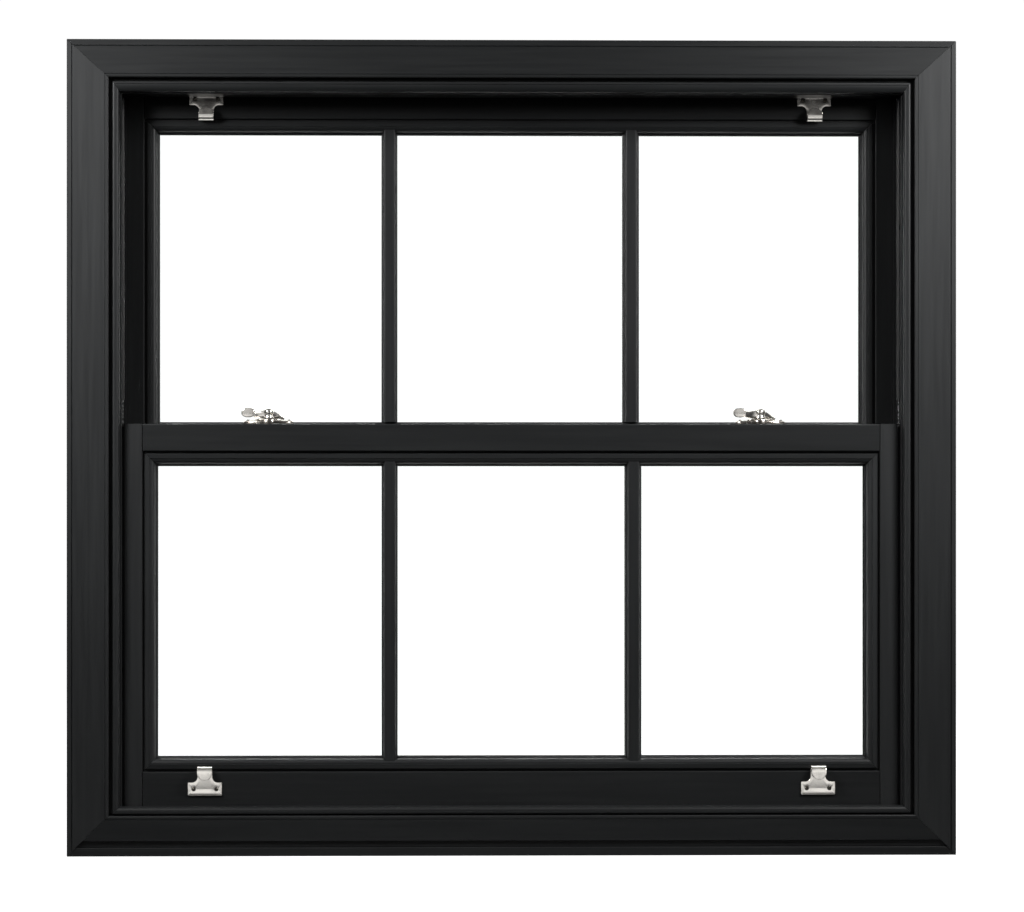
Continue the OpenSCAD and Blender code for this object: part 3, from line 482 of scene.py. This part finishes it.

# %% [markdown]
# The hardware is polished nickel on cast metal, and the reinforcement is galvanised steel.
# The screws and the fastener bases get a darker copy of the nickel, which is painted shade.
# The rest is moulded or extruded: nylon shoes, black tubes, rubber gaskets, the spacer
# between the panes and the brush pile. Two functions cover them all, one for metal and one
# for soft materials, and a row of values makes each.

# %% Metals, nylon, rubber and brush pile
def metal(name, colour, low, high, shade=0.9):
    """A metal; low and high bound its roughness, shade darkens its mottle."""
    material, tree, shader, vector = new_material(name)
    marks = use_group(tree, MARKS, vector, Smear_Scale=90.0, Mottle_Scale=1500.0, Low=low, High=high)
    dark = tuple(c * shade for c in colour)
    tree.links.new(ramp(tree, marks.outputs["Mottle"], dark, colour), shader.inputs["Base Color"])
    tree.links.new(marks.outputs["Value"], shader.inputs["Roughness"])
    shader.inputs["Metallic"].default_value = 1.0
    bump(tree, shader, marks.outputs["Mottle"], distance=0.00002, strength=0.3)
    return material


def soft_plastic(name, dark, light, low, high, grain=1200.0):
    """A plastic, rubber or fibre; low and high bound its roughness."""
    material, tree, shader, vector = new_material(name)
    marks = use_group(tree, MARKS, vector, Smear_Scale=50.0, Mottle_Scale=grain, Low=low, High=high)
    tree.links.new(ramp(tree, marks.outputs["Mottle"], dark, light), shader.inputs["Base Color"])
    tree.links.new(marks.outputs["Value"], shader.inputs["Roughness"])
    bump(tree, shader, marks.outputs["Mottle"], distance=0.00005, strength=0.4)
    return material


def grey(value):
    return (value, value, value)


nickel = metal("polished_nickel", (0.80, 0.77, 0.72), 0.14, 0.28)
# painted shade: a darker copy of the nickel, used for the screws and the fastener bases
nickel_with_painted_shade = metal("nickel_painted_shade", (0.44, 0.41, 0.37), 0.16, 0.30, shade=0.7)
galvanised = metal("galvanised_steel", (0.52, 0.54, 0.56), 0.30, 0.50, shade=0.6)
drawn_steel = metal("drawn_steel", (0.66, 0.66, 0.66), 0.16, 0.30, shade=0.75)
nylon = soft_plastic("moulded_nylon", grey(0.016), grey(0.028), 0.40, 0.55)
tube_black = soft_plastic("balance_tube_black", grey(0.010), grey(0.018), 0.35, 0.5)
rubber = soft_plastic("gasket_rubber", grey(0.006), grey(0.014), 0.55, 0.75)
spacer_black = soft_plastic("spacer_black", grey(0.010), grey(0.020), 0.45, 0.6)
pile_fibre = soft_plastic("pile_fibre", (0.010, 0.010, 0.011), (0.040, 0.040, 0.042), 0.8, 0.95,
                          grain=2500.0)
print("metals and plastics made")

# %% [markdown]
# The panes are clear float glass. Metallic stays plain and Transmission Weight is one. A
# varied roughness would only add noise, so what little variety the glass has comes from a
# faint tint and a faint waviness of the surface.

# %% Glass
def clear_glass():
    material, tree, shader, vector = new_material("float_glass")
    marks = use_group(tree, MARKS, vector, Smear_Scale=3.0, Mottle_Scale=12.0, Low=0.0, High=0.02)
    tint = ramp(tree, marks.outputs["Value"], (0.985, 0.995, 0.99), (0.975, 0.99, 0.985))
    tree.links.new(tint, shader.inputs["Base Color"])
    shader.inputs["Roughness"].default_value = 0.0
    shader.inputs["IOR"].default_value = 1.45
    shader.inputs["Transmission Weight"].default_value = 1.0
    bump(tree, shader, marks.outputs["Mottle"], distance=0.0002, strength=0.02)
    return material


float_glass = clear_glass()
print("glass made")

# %% [markdown]
# The profiles are extruded, and the CAD nodes already have their true sections, so they
# stay and only get their finish. Words in a node's name pick it: first what the piece is
# made of, then, for foiled members, which way it runs.

# %% Dress the CAD nodes
LEVEL_WORDS = ("head", "sill", "rail", "bead_top", "bead_bottom", "interlock")
FINISHES = (
    ("glass", float_glass), ("steel", galvanised), ("tubes", tube_black), ("rods", drawn_steel),
    ("bushes", nylon), ("hangers", nylon), ("shoes", nylon), ("stops", rubber),
    ("gaskets", rubber), ("spacer", spacer_black), ("pile", pile_fibre),
    ("lifts", nickel), ("screws", nickel), ("fastener", nickel))


def finish_of(name):
    """The material for a CAD node, from the words in its name."""
    for word, material in FINISHES:
        if word in name:
            return material
    # bars and level members take the darker foils, which carry painted shade
    if "bars" in name:
        return foil_bars_painted_shade
    if any(word in name for word in LEVEL_WORDS):
        return foil_level_painted_shade
    return foil_upright


for name, cad_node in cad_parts.items():
    cad_node.data.materials.clear()
    cad_node.data.materials.append(finish_of(name))
print("dressed", len(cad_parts), "CAD nodes")

# %% [markdown]
# A hook lift is bent from one strip of brass: a screw plate with concave shoulders, a
# neck, and a curl whose free end is cut to a half round. It is drawn flat as a thin
# sheet, the strip's rows are laid round the curl, and Solidify and Bevel give it
# thickness and the soft polished edge that shows as a bright line.

# %% Hook lift
PLATE_W, PLATE_H, LIFT_H, HOOK_W, STRIP_T = 46.0, 17.6, 39.4, 20.0, 2.4
SHOULDER, CURL, TONGUE = 7.5, 8.0, 10.0
SCREW_GAP, SCREW_RISE, SCREW_HOLE = 30.5, 8.7, 2.9
FOOT_CORNER, TOP_CORNER, LIFT_EDGE = 1.2, 0.8, 0.42
COLUMNS, CURL_STEPS, TONGUE_STEPS, HOLE_POINTS = 8, 16, 10, 24
TONGUE_END = 0.985  # the rows stop just short of the tip, where they would have no width


def arc_points(cx, cz, radius, start, end, steps):
    """Points on an arc from one angle to another, in degrees."""
    angles = [math.radians(start + (end - start) * i / steps) for i in range(steps + 1)]
    return [(cx + radius * math.cos(a), cz + radius * math.sin(a)) for a in angles]


def plate_outline():
    """The screw plate seen flat, with its concave shoulders."""
    half = PLATE_W / 2
    neck = HOOK_W / 2
    top = PLATE_H + SHOULDER
    right = arc_points(half - FOOT_CORNER, FOOT_CORNER, FOOT_CORNER, -90, 0, 4)
    right += arc_points(half - TOP_CORNER, PLATE_H - TOP_CORNER, TOP_CORNER, 0, 90, 3)
    right += arc_points(neck + SHOULDER, top, SHOULDER, 270, 180, 10)
    columns = [(neck - HOOK_W * i / COLUMNS, top) for i in range(1, COLUMNS)]
    left = [(-x, z) for x, z in reversed(right)]
    return right + columns + left


def strip_rows():
    """Points along the strip: depth, height and half width, from the neck to the tip."""
    back = -STRIP_T / 2
    bend = CURL - STRIP_T / 2
    top = LIFT_H - CURL
    rows = [(back, PLATE_H + SHOULDER, HOOK_W / 2), (back, top, HOOK_W / 2)]
    for i in range(1, CURL_STEPS + 1):
        a = math.pi * i / CURL_STEPS
        rows.append((-CURL + bend * math.cos(a), top + bend * math.sin(a), HOOK_W / 2))
    for i in range(1, TONGUE_STEPS + 1):
        down = TONGUE * TONGUE_END * i / TONGUE_STEPS
        rows.append((-CURL - bend, top - down, math.sqrt(TONGUE ** 2 - down ** 2)))
    return rows


def hook_lift(name, centre_x, back_y, foot_z, flip=1):
    """A lift at a place on a sash; flip is -1 for one that hangs with its hook down."""
    def place(x, y, z):
        return Vector((centre_x + x * MM, back_y + y * MM, foot_z + flip * z * MM))

    bm = bmesh.new()
    loops = [plate_outline()]
    last = 360 - 360 / HOLE_POINTS
    for side in (-1, 1):
        loops.append(arc_points(side * SCREW_GAP / 2, SCREW_RISE, SCREW_HOLE, 0, last, HOLE_POINTS - 1))
    edges = []
    for loop in loops:
        verts = [bm.verts.new(place(x, -STRIP_T / 2, z)) for x, z in loop]
        edges += [bm.edges.new((a, b)) for a, b in zip(verts, verts[1:] + verts[:1])]
    bmesh.ops.triangle_fill(bm, edges=edges, use_beauty=True)
    rings = []
    for depth, height, half in strip_rows():
        rings.append([place(half - 2 * half * i / COLUMNS, depth, height) for i in range(COLUMNS + 1)])
    loft(bm, rings, close_ring=False, caps=False)
    lift = object_from(name, bm)
    solid = lift.modifiers.new("strip", "SOLIDIFY")
    solid.thickness = STRIP_T * MM
    solid.offset = 0
    solid.use_even_offset = True
    bevel(lift, LIFT_EDGE, segments=3, angle=50)
    settle(lift)
    return lift


def lift_pair(name, node, flip):
    """The two lifts of a sash, placed by the box of their CAD node."""
    low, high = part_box(node)
    foot = low.z if flip > 0 else high.z
    parts = []
    for side in (-1, 1):
        centre = side * (high.x - PLATE_W / 2 * MM)
        parts.append(hook_lift(f"{name}_{side}", centre, high.y, foot, flip))
    return join(name, parts)


lower_lifts = lift_pair("hook_lifts_lower", "lower_lifts", 1)
upper_lifts = lift_pair("hook_lifts_upper", "upper_lifts", -1)
for piece, body, node in ((lower_lifts, "lower_sash", "lower_lifts"),
                          (upper_lifts, "upper_sash", "upper_lifts")):
    piece.data.materials.append(nickel)
    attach(piece, body)
    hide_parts(node)
    BRIGHT_METAL.objects.link(piece)
    print(piece.name, len(piece.data.polygons), "faces")

# %% [markdown]
# Every lift, fastener and keep is held by small slotted screws. One Geometry Nodes tree
# makes them all: a head is a low cone with a flat top and a slot cut by a boolean, and it
# is set on each vertex of a mesh of points, turned by a random angle so that the slots
# don't line up.

# %% Geometry Nodes tree: slotted screws
HEAD_POINTS = 28
TOP_TO_BASE = 0.72  # radius of the flat top over that of the base
SLOT_REACH = 2.4    # length of the slot cutter over the head's radius


def geometry_tree(name, inputs):
    """An empty tree that takes a mesh and named inputs, and gives a mesh."""
    tree = bpy.data.node_groups.new(name, "GeometryNodeTree")
    tree.interface.new_socket("Geometry", in_out="INPUT", socket_type="NodeSocketGeometry")
    for label, kind, default in inputs:
        socket = tree.interface.new_socket(label, in_out="INPUT", socket_type=kind)
        if default is not None:
            socket.default_value = default
    tree.interface.new_socket("Geometry", in_out="OUTPUT", socket_type="NodeSocketGeometry")
    return tree, tree.nodes.new("NodeGroupInput"), tree.nodes.new("NodeGroupOutput")


def wire(tree, source, target):
    tree.links.new(source, target)


def node(tree, kind, **settings):
    made = tree.nodes.new(kind)
    for key, value in settings.items():
        setattr(made, key, value)
    return made


def screw_tree():
    tree, given, result = geometry_tree("slotted_screws", [
        ("Head Radius", "NodeSocketFloat", 0.0026), ("Head Height", "NodeSocketFloat", 0.0012),
        ("Slot Width", "NodeSocketFloat", 0.0007), ("Facing", "NodeSocketVector", (0, 0, 0)),
        ("Seed", "NodeSocketInt", 7), ("Finish", "NodeSocketMaterial", None)])
    head = node(tree, "GeometryNodeMeshCone")
    head.inputs["Vertices"].default_value = HEAD_POINTS
    head.inputs["Side Segments"].default_value = 1
    wire(tree, given.outputs["Head Radius"], head.inputs["Radius Bottom"])
    narrow = node(tree, "ShaderNodeMath", operation="MULTIPLY")
    narrow.inputs[1].default_value = TOP_TO_BASE
    wire(tree, given.outputs["Head Radius"], narrow.inputs[0])
    wire(tree, narrow.outputs[0], head.inputs["Radius Top"])
    wire(tree, given.outputs["Head Height"], head.inputs["Depth"])
    size = node(tree, "ShaderNodeCombineXYZ")
    reach = node(tree, "ShaderNodeMath", operation="MULTIPLY")
    reach.inputs[1].default_value = SLOT_REACH
    wire(tree, given.outputs["Head Radius"], reach.inputs[0])
    wire(tree, reach.outputs[0], size.inputs["X"])
    wire(tree, given.outputs["Slot Width"], size.inputs["Y"])
    wire(tree, given.outputs["Head Height"], size.inputs["Z"])
    slot = node(tree, "GeometryNodeMeshCube")
    wire(tree, size.outputs[0], slot.inputs["Size"])
    lift_up = node(tree, "ShaderNodeCombineXYZ")
    wire(tree, given.outputs["Head Height"], lift_up.inputs["Z"])
    raised = node(tree, "GeometryNodeTransform")
    wire(tree, slot.outputs["Mesh"], raised.inputs["Geometry"])
    wire(tree, lift_up.outputs[0], raised.inputs["Translation"])
    cut = node(tree, "GeometryNodeMeshBoolean", operation="DIFFERENCE")
    wire(tree, head.outputs["Mesh"], cut.inputs["Mesh 1"])
    wire(tree, raised.outputs[0], cut.inputs["Mesh 2"])
    place = node(tree, "GeometryNodeInstanceOnPoints")
    wire(tree, given.outputs["Geometry"], place.inputs["Points"])
    wire(tree, cut.outputs[0], place.inputs["Instance"])
    face = node(tree, "GeometryNodeRotateInstances")
    face.inputs["Local Space"].default_value = True
    wire(tree, given.outputs["Facing"], face.inputs["Rotation"])
    angle = node(tree, "FunctionNodeRandomValue", data_type="FLOAT")
    angle.inputs["Max"].default_value = math.pi
    wire(tree, given.outputs["Seed"], angle.inputs["Seed"])
    about = node(tree, "ShaderNodeCombineXYZ")
    wire(tree, angle.outputs["Value"], about.inputs["Z"])
    turn_slot = node(tree, "GeometryNodeRotateInstances")
    turn_slot.inputs["Local Space"].default_value = True
    wire(tree, about.outputs[0], turn_slot.inputs["Rotation"])
    real = node(tree, "GeometryNodeRealizeInstances")
    finish = node(tree, "GeometryNodeSetMaterial")
    wire(tree, given.outputs["Finish"], finish.inputs["Material"])
    chain = (place, face, turn_slot, real, finish)
    for a, b in zip(chain, chain[1:]):
        wire(tree, a.outputs[0], b.inputs[0])
    wire(tree, finish.outputs[0], result.inputs[0])
    return tree


def run_tree(name, tree, points, values):
    """Runs a tree on a mesh of loose points and keeps the result as a plain mesh."""
    mesh = bpy.data.meshes.new(name)
    mesh.from_pydata([tuple(p) for p in points], [], [])
    obj = link(bpy.data.objects.new(name, mesh))
    modifier = obj.modifiers.new("maker", "NODES")
    modifier.node_group = tree
    sockets = {s.name: s.identifier for s in tree.interface.items_tree if s.in_out == "INPUT"}
    for label, value in values.items():
        modifier[sockets[label]] = value
    return settle(obj)


SCREWS = screw_tree()
TO_ROOM = (math.radians(90), 0.0, 0.0)
UPWARD = (0.0, 0.0, 0.0)
HEAD_H, SLOT_W, SCREW_SINK = 0.0011, 0.0008, 0.35


def screws_at(name, points, facing, radius, seed):
    """Screw heads at points; the radius is in millimetres."""
    return run_tree(name, SCREWS, points, {
        "Head Radius": radius * MM, "Head Height": HEAD_H, "Slot Width": SLOT_W,
        "Facing": facing, "Seed": seed, "Finish": nickel_with_painted_shade})


def lift_screw_points(node_name, flip):
    """Places for the screws of a pair of lifts, sunk a little into the plates."""
    low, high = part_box(node_name)
    z = (low.z if flip > 0 else high.z) + flip * SCREW_RISE * MM
    depth = high.y - (STRIP_T - SCREW_SINK) * MM
    centre = high.x - PLATE_W / 2 * MM
    return [(s * centre + t * SCREW_GAP / 2 * MM, depth, z) for s in (-1, 1) for t in (-1, 1)]


print("screw tree", len(SCREWS.nodes), "nodes")

# %% [markdown]
# The fasteners are turned and cast parts. The base is a lens shaped plate with a round
# boss and a smaller lens with a fine groove on top, which the lever turns over. Outlines
# are stacked level by level and profiles are turned, which keeps the edges round. The back
# is cut flat, so that the base stays clear of the upper sash.

# %% Fastener base
base_low, base_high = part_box("fastener_bases")
seat_z = base_low.z
BASE_L, BASE_D, BASE_T = 68.0, 20.0, 5.0
BOSS_R, CAP_L, CAP_D, BACK_EDGE = 11.5, 37.0, 15.0, 7.5
BASE_LEVELS = ((0, 0.985), (0.5, 1.0), (2.6, 1.0), (3.6, 0.975), (4.4, 0.93), (4.9, 0.86), (5.0, 0.80))
BOSS_PROFILE = ((10.6, 0.0), (11.4, 0.4), (11.4, 5.0), (11.0, 5.8), (9.6, 6.5), (8.6, 6.9), (8.6, 7.2))
CAP_LEVELS = ((4.6, 1.0), (5.3, 1.0), (5.5, 0.96), (5.7, 0.96), (5.9, 1.0), (6.5, 0.99), (6.9, 0.94),
              (7.1, 0.86))
pivot_y = base_low.y + BOSS_R * MM
pivot_x = {"left": base_low.x + BASE_L / 2 * MM, "right": base_high.x - BASE_L / 2 * MM}


def power_outline(width, height, power_x, power_y, steps):
    """An oval whose quarters bulge or hollow with the powers of cosine and sine."""
    points = []
    for i in range(steps):
        a = 2 * math.pi * i / steps
        c, s = math.cos(a), math.sin(a)
        points.append((math.copysign(abs(c) ** power_x, c) * width / 2,
                       math.copysign(abs(s) ** power_y, s) * height / 2))
    return points


def lens_outline(length, depth):
    """A lens that is flattened to rounded tips."""
    return power_outline(length, depth, 0.9, 1.25, steps=28)


def stack(bm, centre, outline, levels):
    """Lofts an outline through (height, scale) levels."""
    rings = []
    for height, scale in levels:
        rings.append([centre + Vector((x * scale, y * scale, height)) * MM for x, y in outline])
    loft(bm, rings)


def cut_flush(bm, back):
    """Cuts off what lies behind a depth and closes each shell again with a flat face."""
    whole = bm.verts[:] + bm.edges[:] + bm.faces[:]
    cut = bmesh.ops.bisect_plane(
        bm, geom=whole, plane_co=(0, back, 0), plane_no=(0, 1, 0), clear_outer=True)
    rims = [e for e in cut["geom_cut"] if isinstance(e, bmesh.types.BMEdge)]
    bmesh.ops.edgeloop_fill(bm, edges=rims)


def fastener_base(side):
    centre = Vector((pivot_x[side], pivot_y, seat_z))
    bm = bmesh.new()
    stack(bm, centre, lens_outline(BASE_L, BASE_D), BASE_LEVELS)
    spin(bm, BOSS_PROFILE, centre)
    stack(bm, centre, lens_outline(CAP_L, CAP_D), CAP_LEVELS)
    cut_flush(bm, pivot_y + BACK_EDGE * MM)
    return object_from(f"base_{side}", bm)


# %% [markdown]
# The lever is cast in one piece: a turned and domed hub, a waisted neck, a thumb tab like
# a small paddle, and a horn that leaves the hub on a web and drops behind the upright lip
# of the keep on the upper sash. Each is a closed shell of rings that runs into the next,
# and all of them make one mesh, which is simpler to draw than one skin with branches.

# %% Fastener lever
TAB_W, TAB_H, TAB_X, TAB_Z = 19.0, 13.0, -27.6, 15.7
TAB_LEVELS = ((-1.5, 0.80), (-1.3, 0.93), (-0.8, 0.99), (0.8, 0.99), (1.3, 0.93), (1.5, 0.80))
# place along the neck, half its depth, underside and top
NECK = ((-22, 1.1, 11.0, 17.6), (-19, 1.7, 9.6, 17.4), (-16, 2.7, 8.4, 17.6),
        (-12, 3.8, 7.9, 18.4), (-7, 4.4, 7.8, 19.4), (-3, 4.4, 7.8, 19.6))
HUB_PROFILE = ((6.6, 7.45), (7.3, 7.9), (7.4, 9.0), (7.0, 9.8), (6.2, 10.6), (6.0, 12.0), (6.2, 13.6),
               (7.0, 14.6), (7.4, 15.6), (7.2, 17.4), (6.4, 19.2), (5.0, 20.6), (3.0, 21.4), (0.6, 21.65))
WEB_STEPS, WEB_START, WEB_REACH, WEB_FOOT, WEB_TOP, WEB_DROP = 8, 4.0, 17.0, 10.6, 18.6, 5.2
WEB_ANGLES, WEB_TOP_ANGLES = (34, 78), (40, 72)
HORN_STEPS, HORN_START, HORN_SWEEP, HORN_R = 18, 15, 90, 21.3
HORN_FOOT, HORN_TIP_TOP, HORN_RISE, HORN_W = 5.7, 9.6, 4.4, 4.1
LEVER_EDGE = 0.35


def superellipse(width, height, power, steps=24):
    """A rounded rectangle; a higher power is squarer."""
    return power_outline(width, height, 2 / power, 2 / power, steps)


def thumb_tab(bm, centre):
    """A paddle that faces the room, thicker in the middle than at its rim."""
    outline = superellipse(TAB_W, TAB_H, 2.4)
    middle = Vector((TAB_X, 0, TAB_Z))
    rings = []
    for depth, scale in TAB_LEVELS:
        rings.append([centre + (middle + Vector((x * scale, depth, z * scale))) * MM for x, z in outline])
    loft(bm, rings)


def neck(bm, centre):
    """Runs from the tab to the hub, waisted and rising."""
    rings = []
    for x, half_y, low, high in NECK:
        ring = superellipse(2 * half_y, high - low, 3.2, 16)
        rings.append([centre + Vector((x, y, (low + high) / 2 + z)) * MM for y, z in ring])
    loft(bm, rings)


def horn(bm, centre):
    """The cam: a web that leaves the hub high, and a curved horn that drops behind the lip."""
    web = []
    for i in range(WEB_STEPS + 1):
        out = i / WEB_STEPS
        r = WEB_START + WEB_REACH * i / WEB_STEPS
        high = WEB_TOP - WEB_DROP * out ** 1.4
        row = []
        for a, z in ((WEB_ANGLES[0], WEB_FOOT), (WEB_ANGLES[1], WEB_FOOT),
                     (WEB_TOP_ANGLES[1], high), (WEB_TOP_ANGLES[0], high)):
            t = math.radians(a)
            row.append(centre + Vector((r * math.cos(t), r * math.sin(t), z)) * MM)
        web.append(row)
    loft(bm, web)
    rings = []
    for i in range(HORN_STEPS + 1):
        a = math.radians(HORN_START + HORN_SWEEP * i / HORN_STEPS)
        swell = math.sin(math.pi * i / HORN_STEPS) ** 0.35 if 0 < i < HORN_STEPS else 0
        top = HORN_TIP_TOP + HORN_RISE * min(1.0, i / (HORN_STEPS / 2))
        ring = superellipse(HORN_W * max(swell, 0.4), top - HORN_FOOT, 3.4, 14)
        rings.append([centre + Vector(((HORN_R + r) * math.cos(a), (HORN_R + r) * math.sin(a),
                                       (top + HORN_FOOT) / 2 + z)) * MM for r, z in ring])
    loft(bm, rings)


def lever_mesh(side):
    """The lever of one side as it stands when locked."""
    centre = Vector((pivot_x[side], pivot_y, seat_z))
    bm = bmesh.new()
    spin(bm, HUB_PROFILE, centre)
    thumb_tab(bm, centre)
    neck(bm, centre)
    horn(bm, centre)
    lever = object_from(f"fastener_lever_{side}_cast", bm)
    return settle(bevel(lever, LEVER_EDGE, segments=2, angle=60), smooth_angle=50)


bases = join("fastener_bases_cast", [fastener_base(side) for side in ("left", "right")])
levers = {side: lever_mesh(side) for side in ("left", "right")}
for piece, body, replaced in ((bases, "lower_sash", "fastener_bases"),
                              (levers["left"], "lever_left", "fastener_lever_left"),
                              (levers["right"], "lever_right", "fastener_lever_right")):
    piece.data.materials.clear()
    # the bases take the darker nickel, which is painted shade
    piece.data.materials.append(nickel_with_painted_shade if piece is bases else nickel)
    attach(piece, body)
    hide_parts(replaced)
    if piece is not bases:
        BRIGHT_METAL.objects.link(piece)
    print(piece.name, len(piece.data.polygons), "faces")

# %% [markdown]
# Two screws hold each lift and face the room. Two more hold each fastener base, near its
# tips, and each keep on the rail behind it, and face up. A sash's screws are one piece, as
# they are one node in the CAD.

# %% Screws in place
BASE_SCREW_X, BASE_SCREW_RISE = 27.8, 0.1
KEEP_SCREW_X, KEEP_BACK, KEEP_T = 22.0, 20.3, 2.5
LIFT_HEAD_R, TOP_HEAD_R = 2.8, 2.5
LIFT_SEED, TOP_SEED = 7, 11
base_screws = [(pivot_x[side] + s * BASE_SCREW_X * MM, pivot_y, seat_z + (BASE_T + BASE_SCREW_RISE) * MM)
               for side in ("left", "right") for s in (-1, 1)]
keep_screws = [(pivot_x[side] + s * KEEP_SCREW_X * MM, pivot_y + KEEP_BACK * MM, seat_z + KEEP_T * MM)
               for side in ("left", "right") for s in (-1, 1)]
for body, lift_node, flip, tops, node_name in (
        ("lower_sash", "lower_lifts", 1, base_screws, "lower_screws"),
        ("upper_sash", "upper_lifts", -1, keep_screws, "upper_screws")):
    lift_points = lift_screw_points(lift_node, flip)
    faces_room = screws_at(f"{node_name}_front", lift_points, TO_ROOM, LIFT_HEAD_R, LIFT_SEED)
    faces_up = screws_at(f"{node_name}_top", tops, UPWARD, TOP_HEAD_R, TOP_SEED)
    screws = join(f"{node_name}_slotted", [faces_room, faces_up])
    screws.data.materials.clear()
    # the screws take the darker nickel, which is painted shade
    screws.data.materials.append(nickel_with_painted_shade)
    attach(screws, body)
    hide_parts(node_name)
    print(screws.name, len(screws.data.polygons), "faces")

# %% [markdown]
# A spiral balance rod is a flat steel strip twisted into a long screw. A Geometry Nodes
# tree draws it: a line is resampled, tilted in step with its length, and swept with a
# thin rectangle.

# %% Geometry Nodes tree: twisted rod
ROD_PITCH, ROD_T = 0.022, 0.0016
STEPS_PER_TURN = 20
ROD_PLAY = 0.98  # keeps the twisted strip inside the round rod that it replaces


def rod_tree():
    tree, given, result = geometry_tree("twisted_rod", [
        ("Length", "NodeSocketFloat", 0.5), ("Pitch", "NodeSocketFloat", ROD_PITCH),
        ("Width", "NodeSocketFloat", 0.0052), ("Thickness", "NodeSocketFloat", ROD_T),
        ("Finish", "NodeSocketMaterial", None)])
    end = node(tree, "ShaderNodeCombineXYZ")
    wire(tree, given.outputs["Length"], end.inputs["Z"])
    line = node(tree, "GeometryNodeCurvePrimitiveLine")
    wire(tree, end.outputs[0], line.inputs["End"])
    fine = node(tree, "GeometryNodeResampleCurve")
    count = node(tree, "ShaderNodeMath", operation="DIVIDE")
    wire(tree, given.outputs["Length"], count.inputs[0])
    step = node(tree, "ShaderNodeMath", operation="MULTIPLY")
    step.inputs[1].default_value = 1 / STEPS_PER_TURN
    wire(tree, given.outputs["Pitch"], step.inputs[0])
    wire(tree, step.outputs[0], count.inputs[1])
    wire(tree, line.outputs[0], fine.inputs["Curve"])
    wire(tree, count.outputs[0], fine.inputs["Count"])
    along = node(tree, "GeometryNodeSplineParameter")
    turns = node(tree, "ShaderNodeMath", operation="DIVIDE")
    wire(tree, along.outputs["Length"], turns.inputs[0])
    wire(tree, given.outputs["Pitch"], turns.inputs[1])
    angle = node(tree, "ShaderNodeMath", operation="MULTIPLY")
    angle.inputs[1].default_value = 2 * math.pi
    wire(tree, turns.outputs[0], angle.inputs[0])
    tilt = node(tree, "GeometryNodeSetCurveTilt")
    wire(tree, fine.outputs[0], tilt.inputs["Curve"])
    wire(tree, angle.outputs[0], tilt.inputs["Tilt"])
    strip = node(tree, "GeometryNodeCurvePrimitiveQuadrilateral")
    wire(tree, given.outputs["Width"], strip.inputs["Width"])
    wire(tree, given.outputs["Thickness"], strip.inputs["Height"])
    sweep = node(tree, "GeometryNodeCurveToMesh")
    sweep.inputs["Fill Caps"].default_value = True
    wire(tree, tilt.outputs[0], sweep.inputs["Curve"])
    wire(tree, strip.outputs[0], sweep.inputs["Profile Curve"])
    on_points = node(tree, "GeometryNodeInstanceOnPoints")
    wire(tree, given.outputs["Geometry"], on_points.inputs["Points"])
    wire(tree, sweep.outputs[0], on_points.inputs["Instance"])
    real = node(tree, "GeometryNodeRealizeInstances")
    finish = node(tree, "GeometryNodeSetMaterial")
    wire(tree, on_points.outputs[0], real.inputs[0])
    wire(tree, real.outputs[0], finish.inputs[0])
    wire(tree, given.outputs["Finish"], finish.inputs["Material"])
    wire(tree, finish.outputs[0], result.inputs[0])
    return tree


RODS = rod_tree()
for sash in ("lower", "upper"):
    low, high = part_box(f"{sash}_balance_rods")
    radius = (high.y - low.y) / 2
    feet = [(low.x + radius, low.y + radius, low.z), (high.x - radius, low.y + radius, low.z)]
    rods = run_tree(f"{sash}_twisted_rods", RODS, feet, {
        "Length": high.z - low.z, "Pitch": ROD_PITCH, "Width": 2 * radius * ROD_PLAY, "Thickness": ROD_T,
        "Finish": drawn_steel})
    rods.data.materials.clear()
    rods.data.materials.append(drawn_steel)
    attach(rods, f"{sash}_sash")
    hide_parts(f"{sash}_balance_rods")
    print(rods.name, len(rods.data.polygons), "faces")
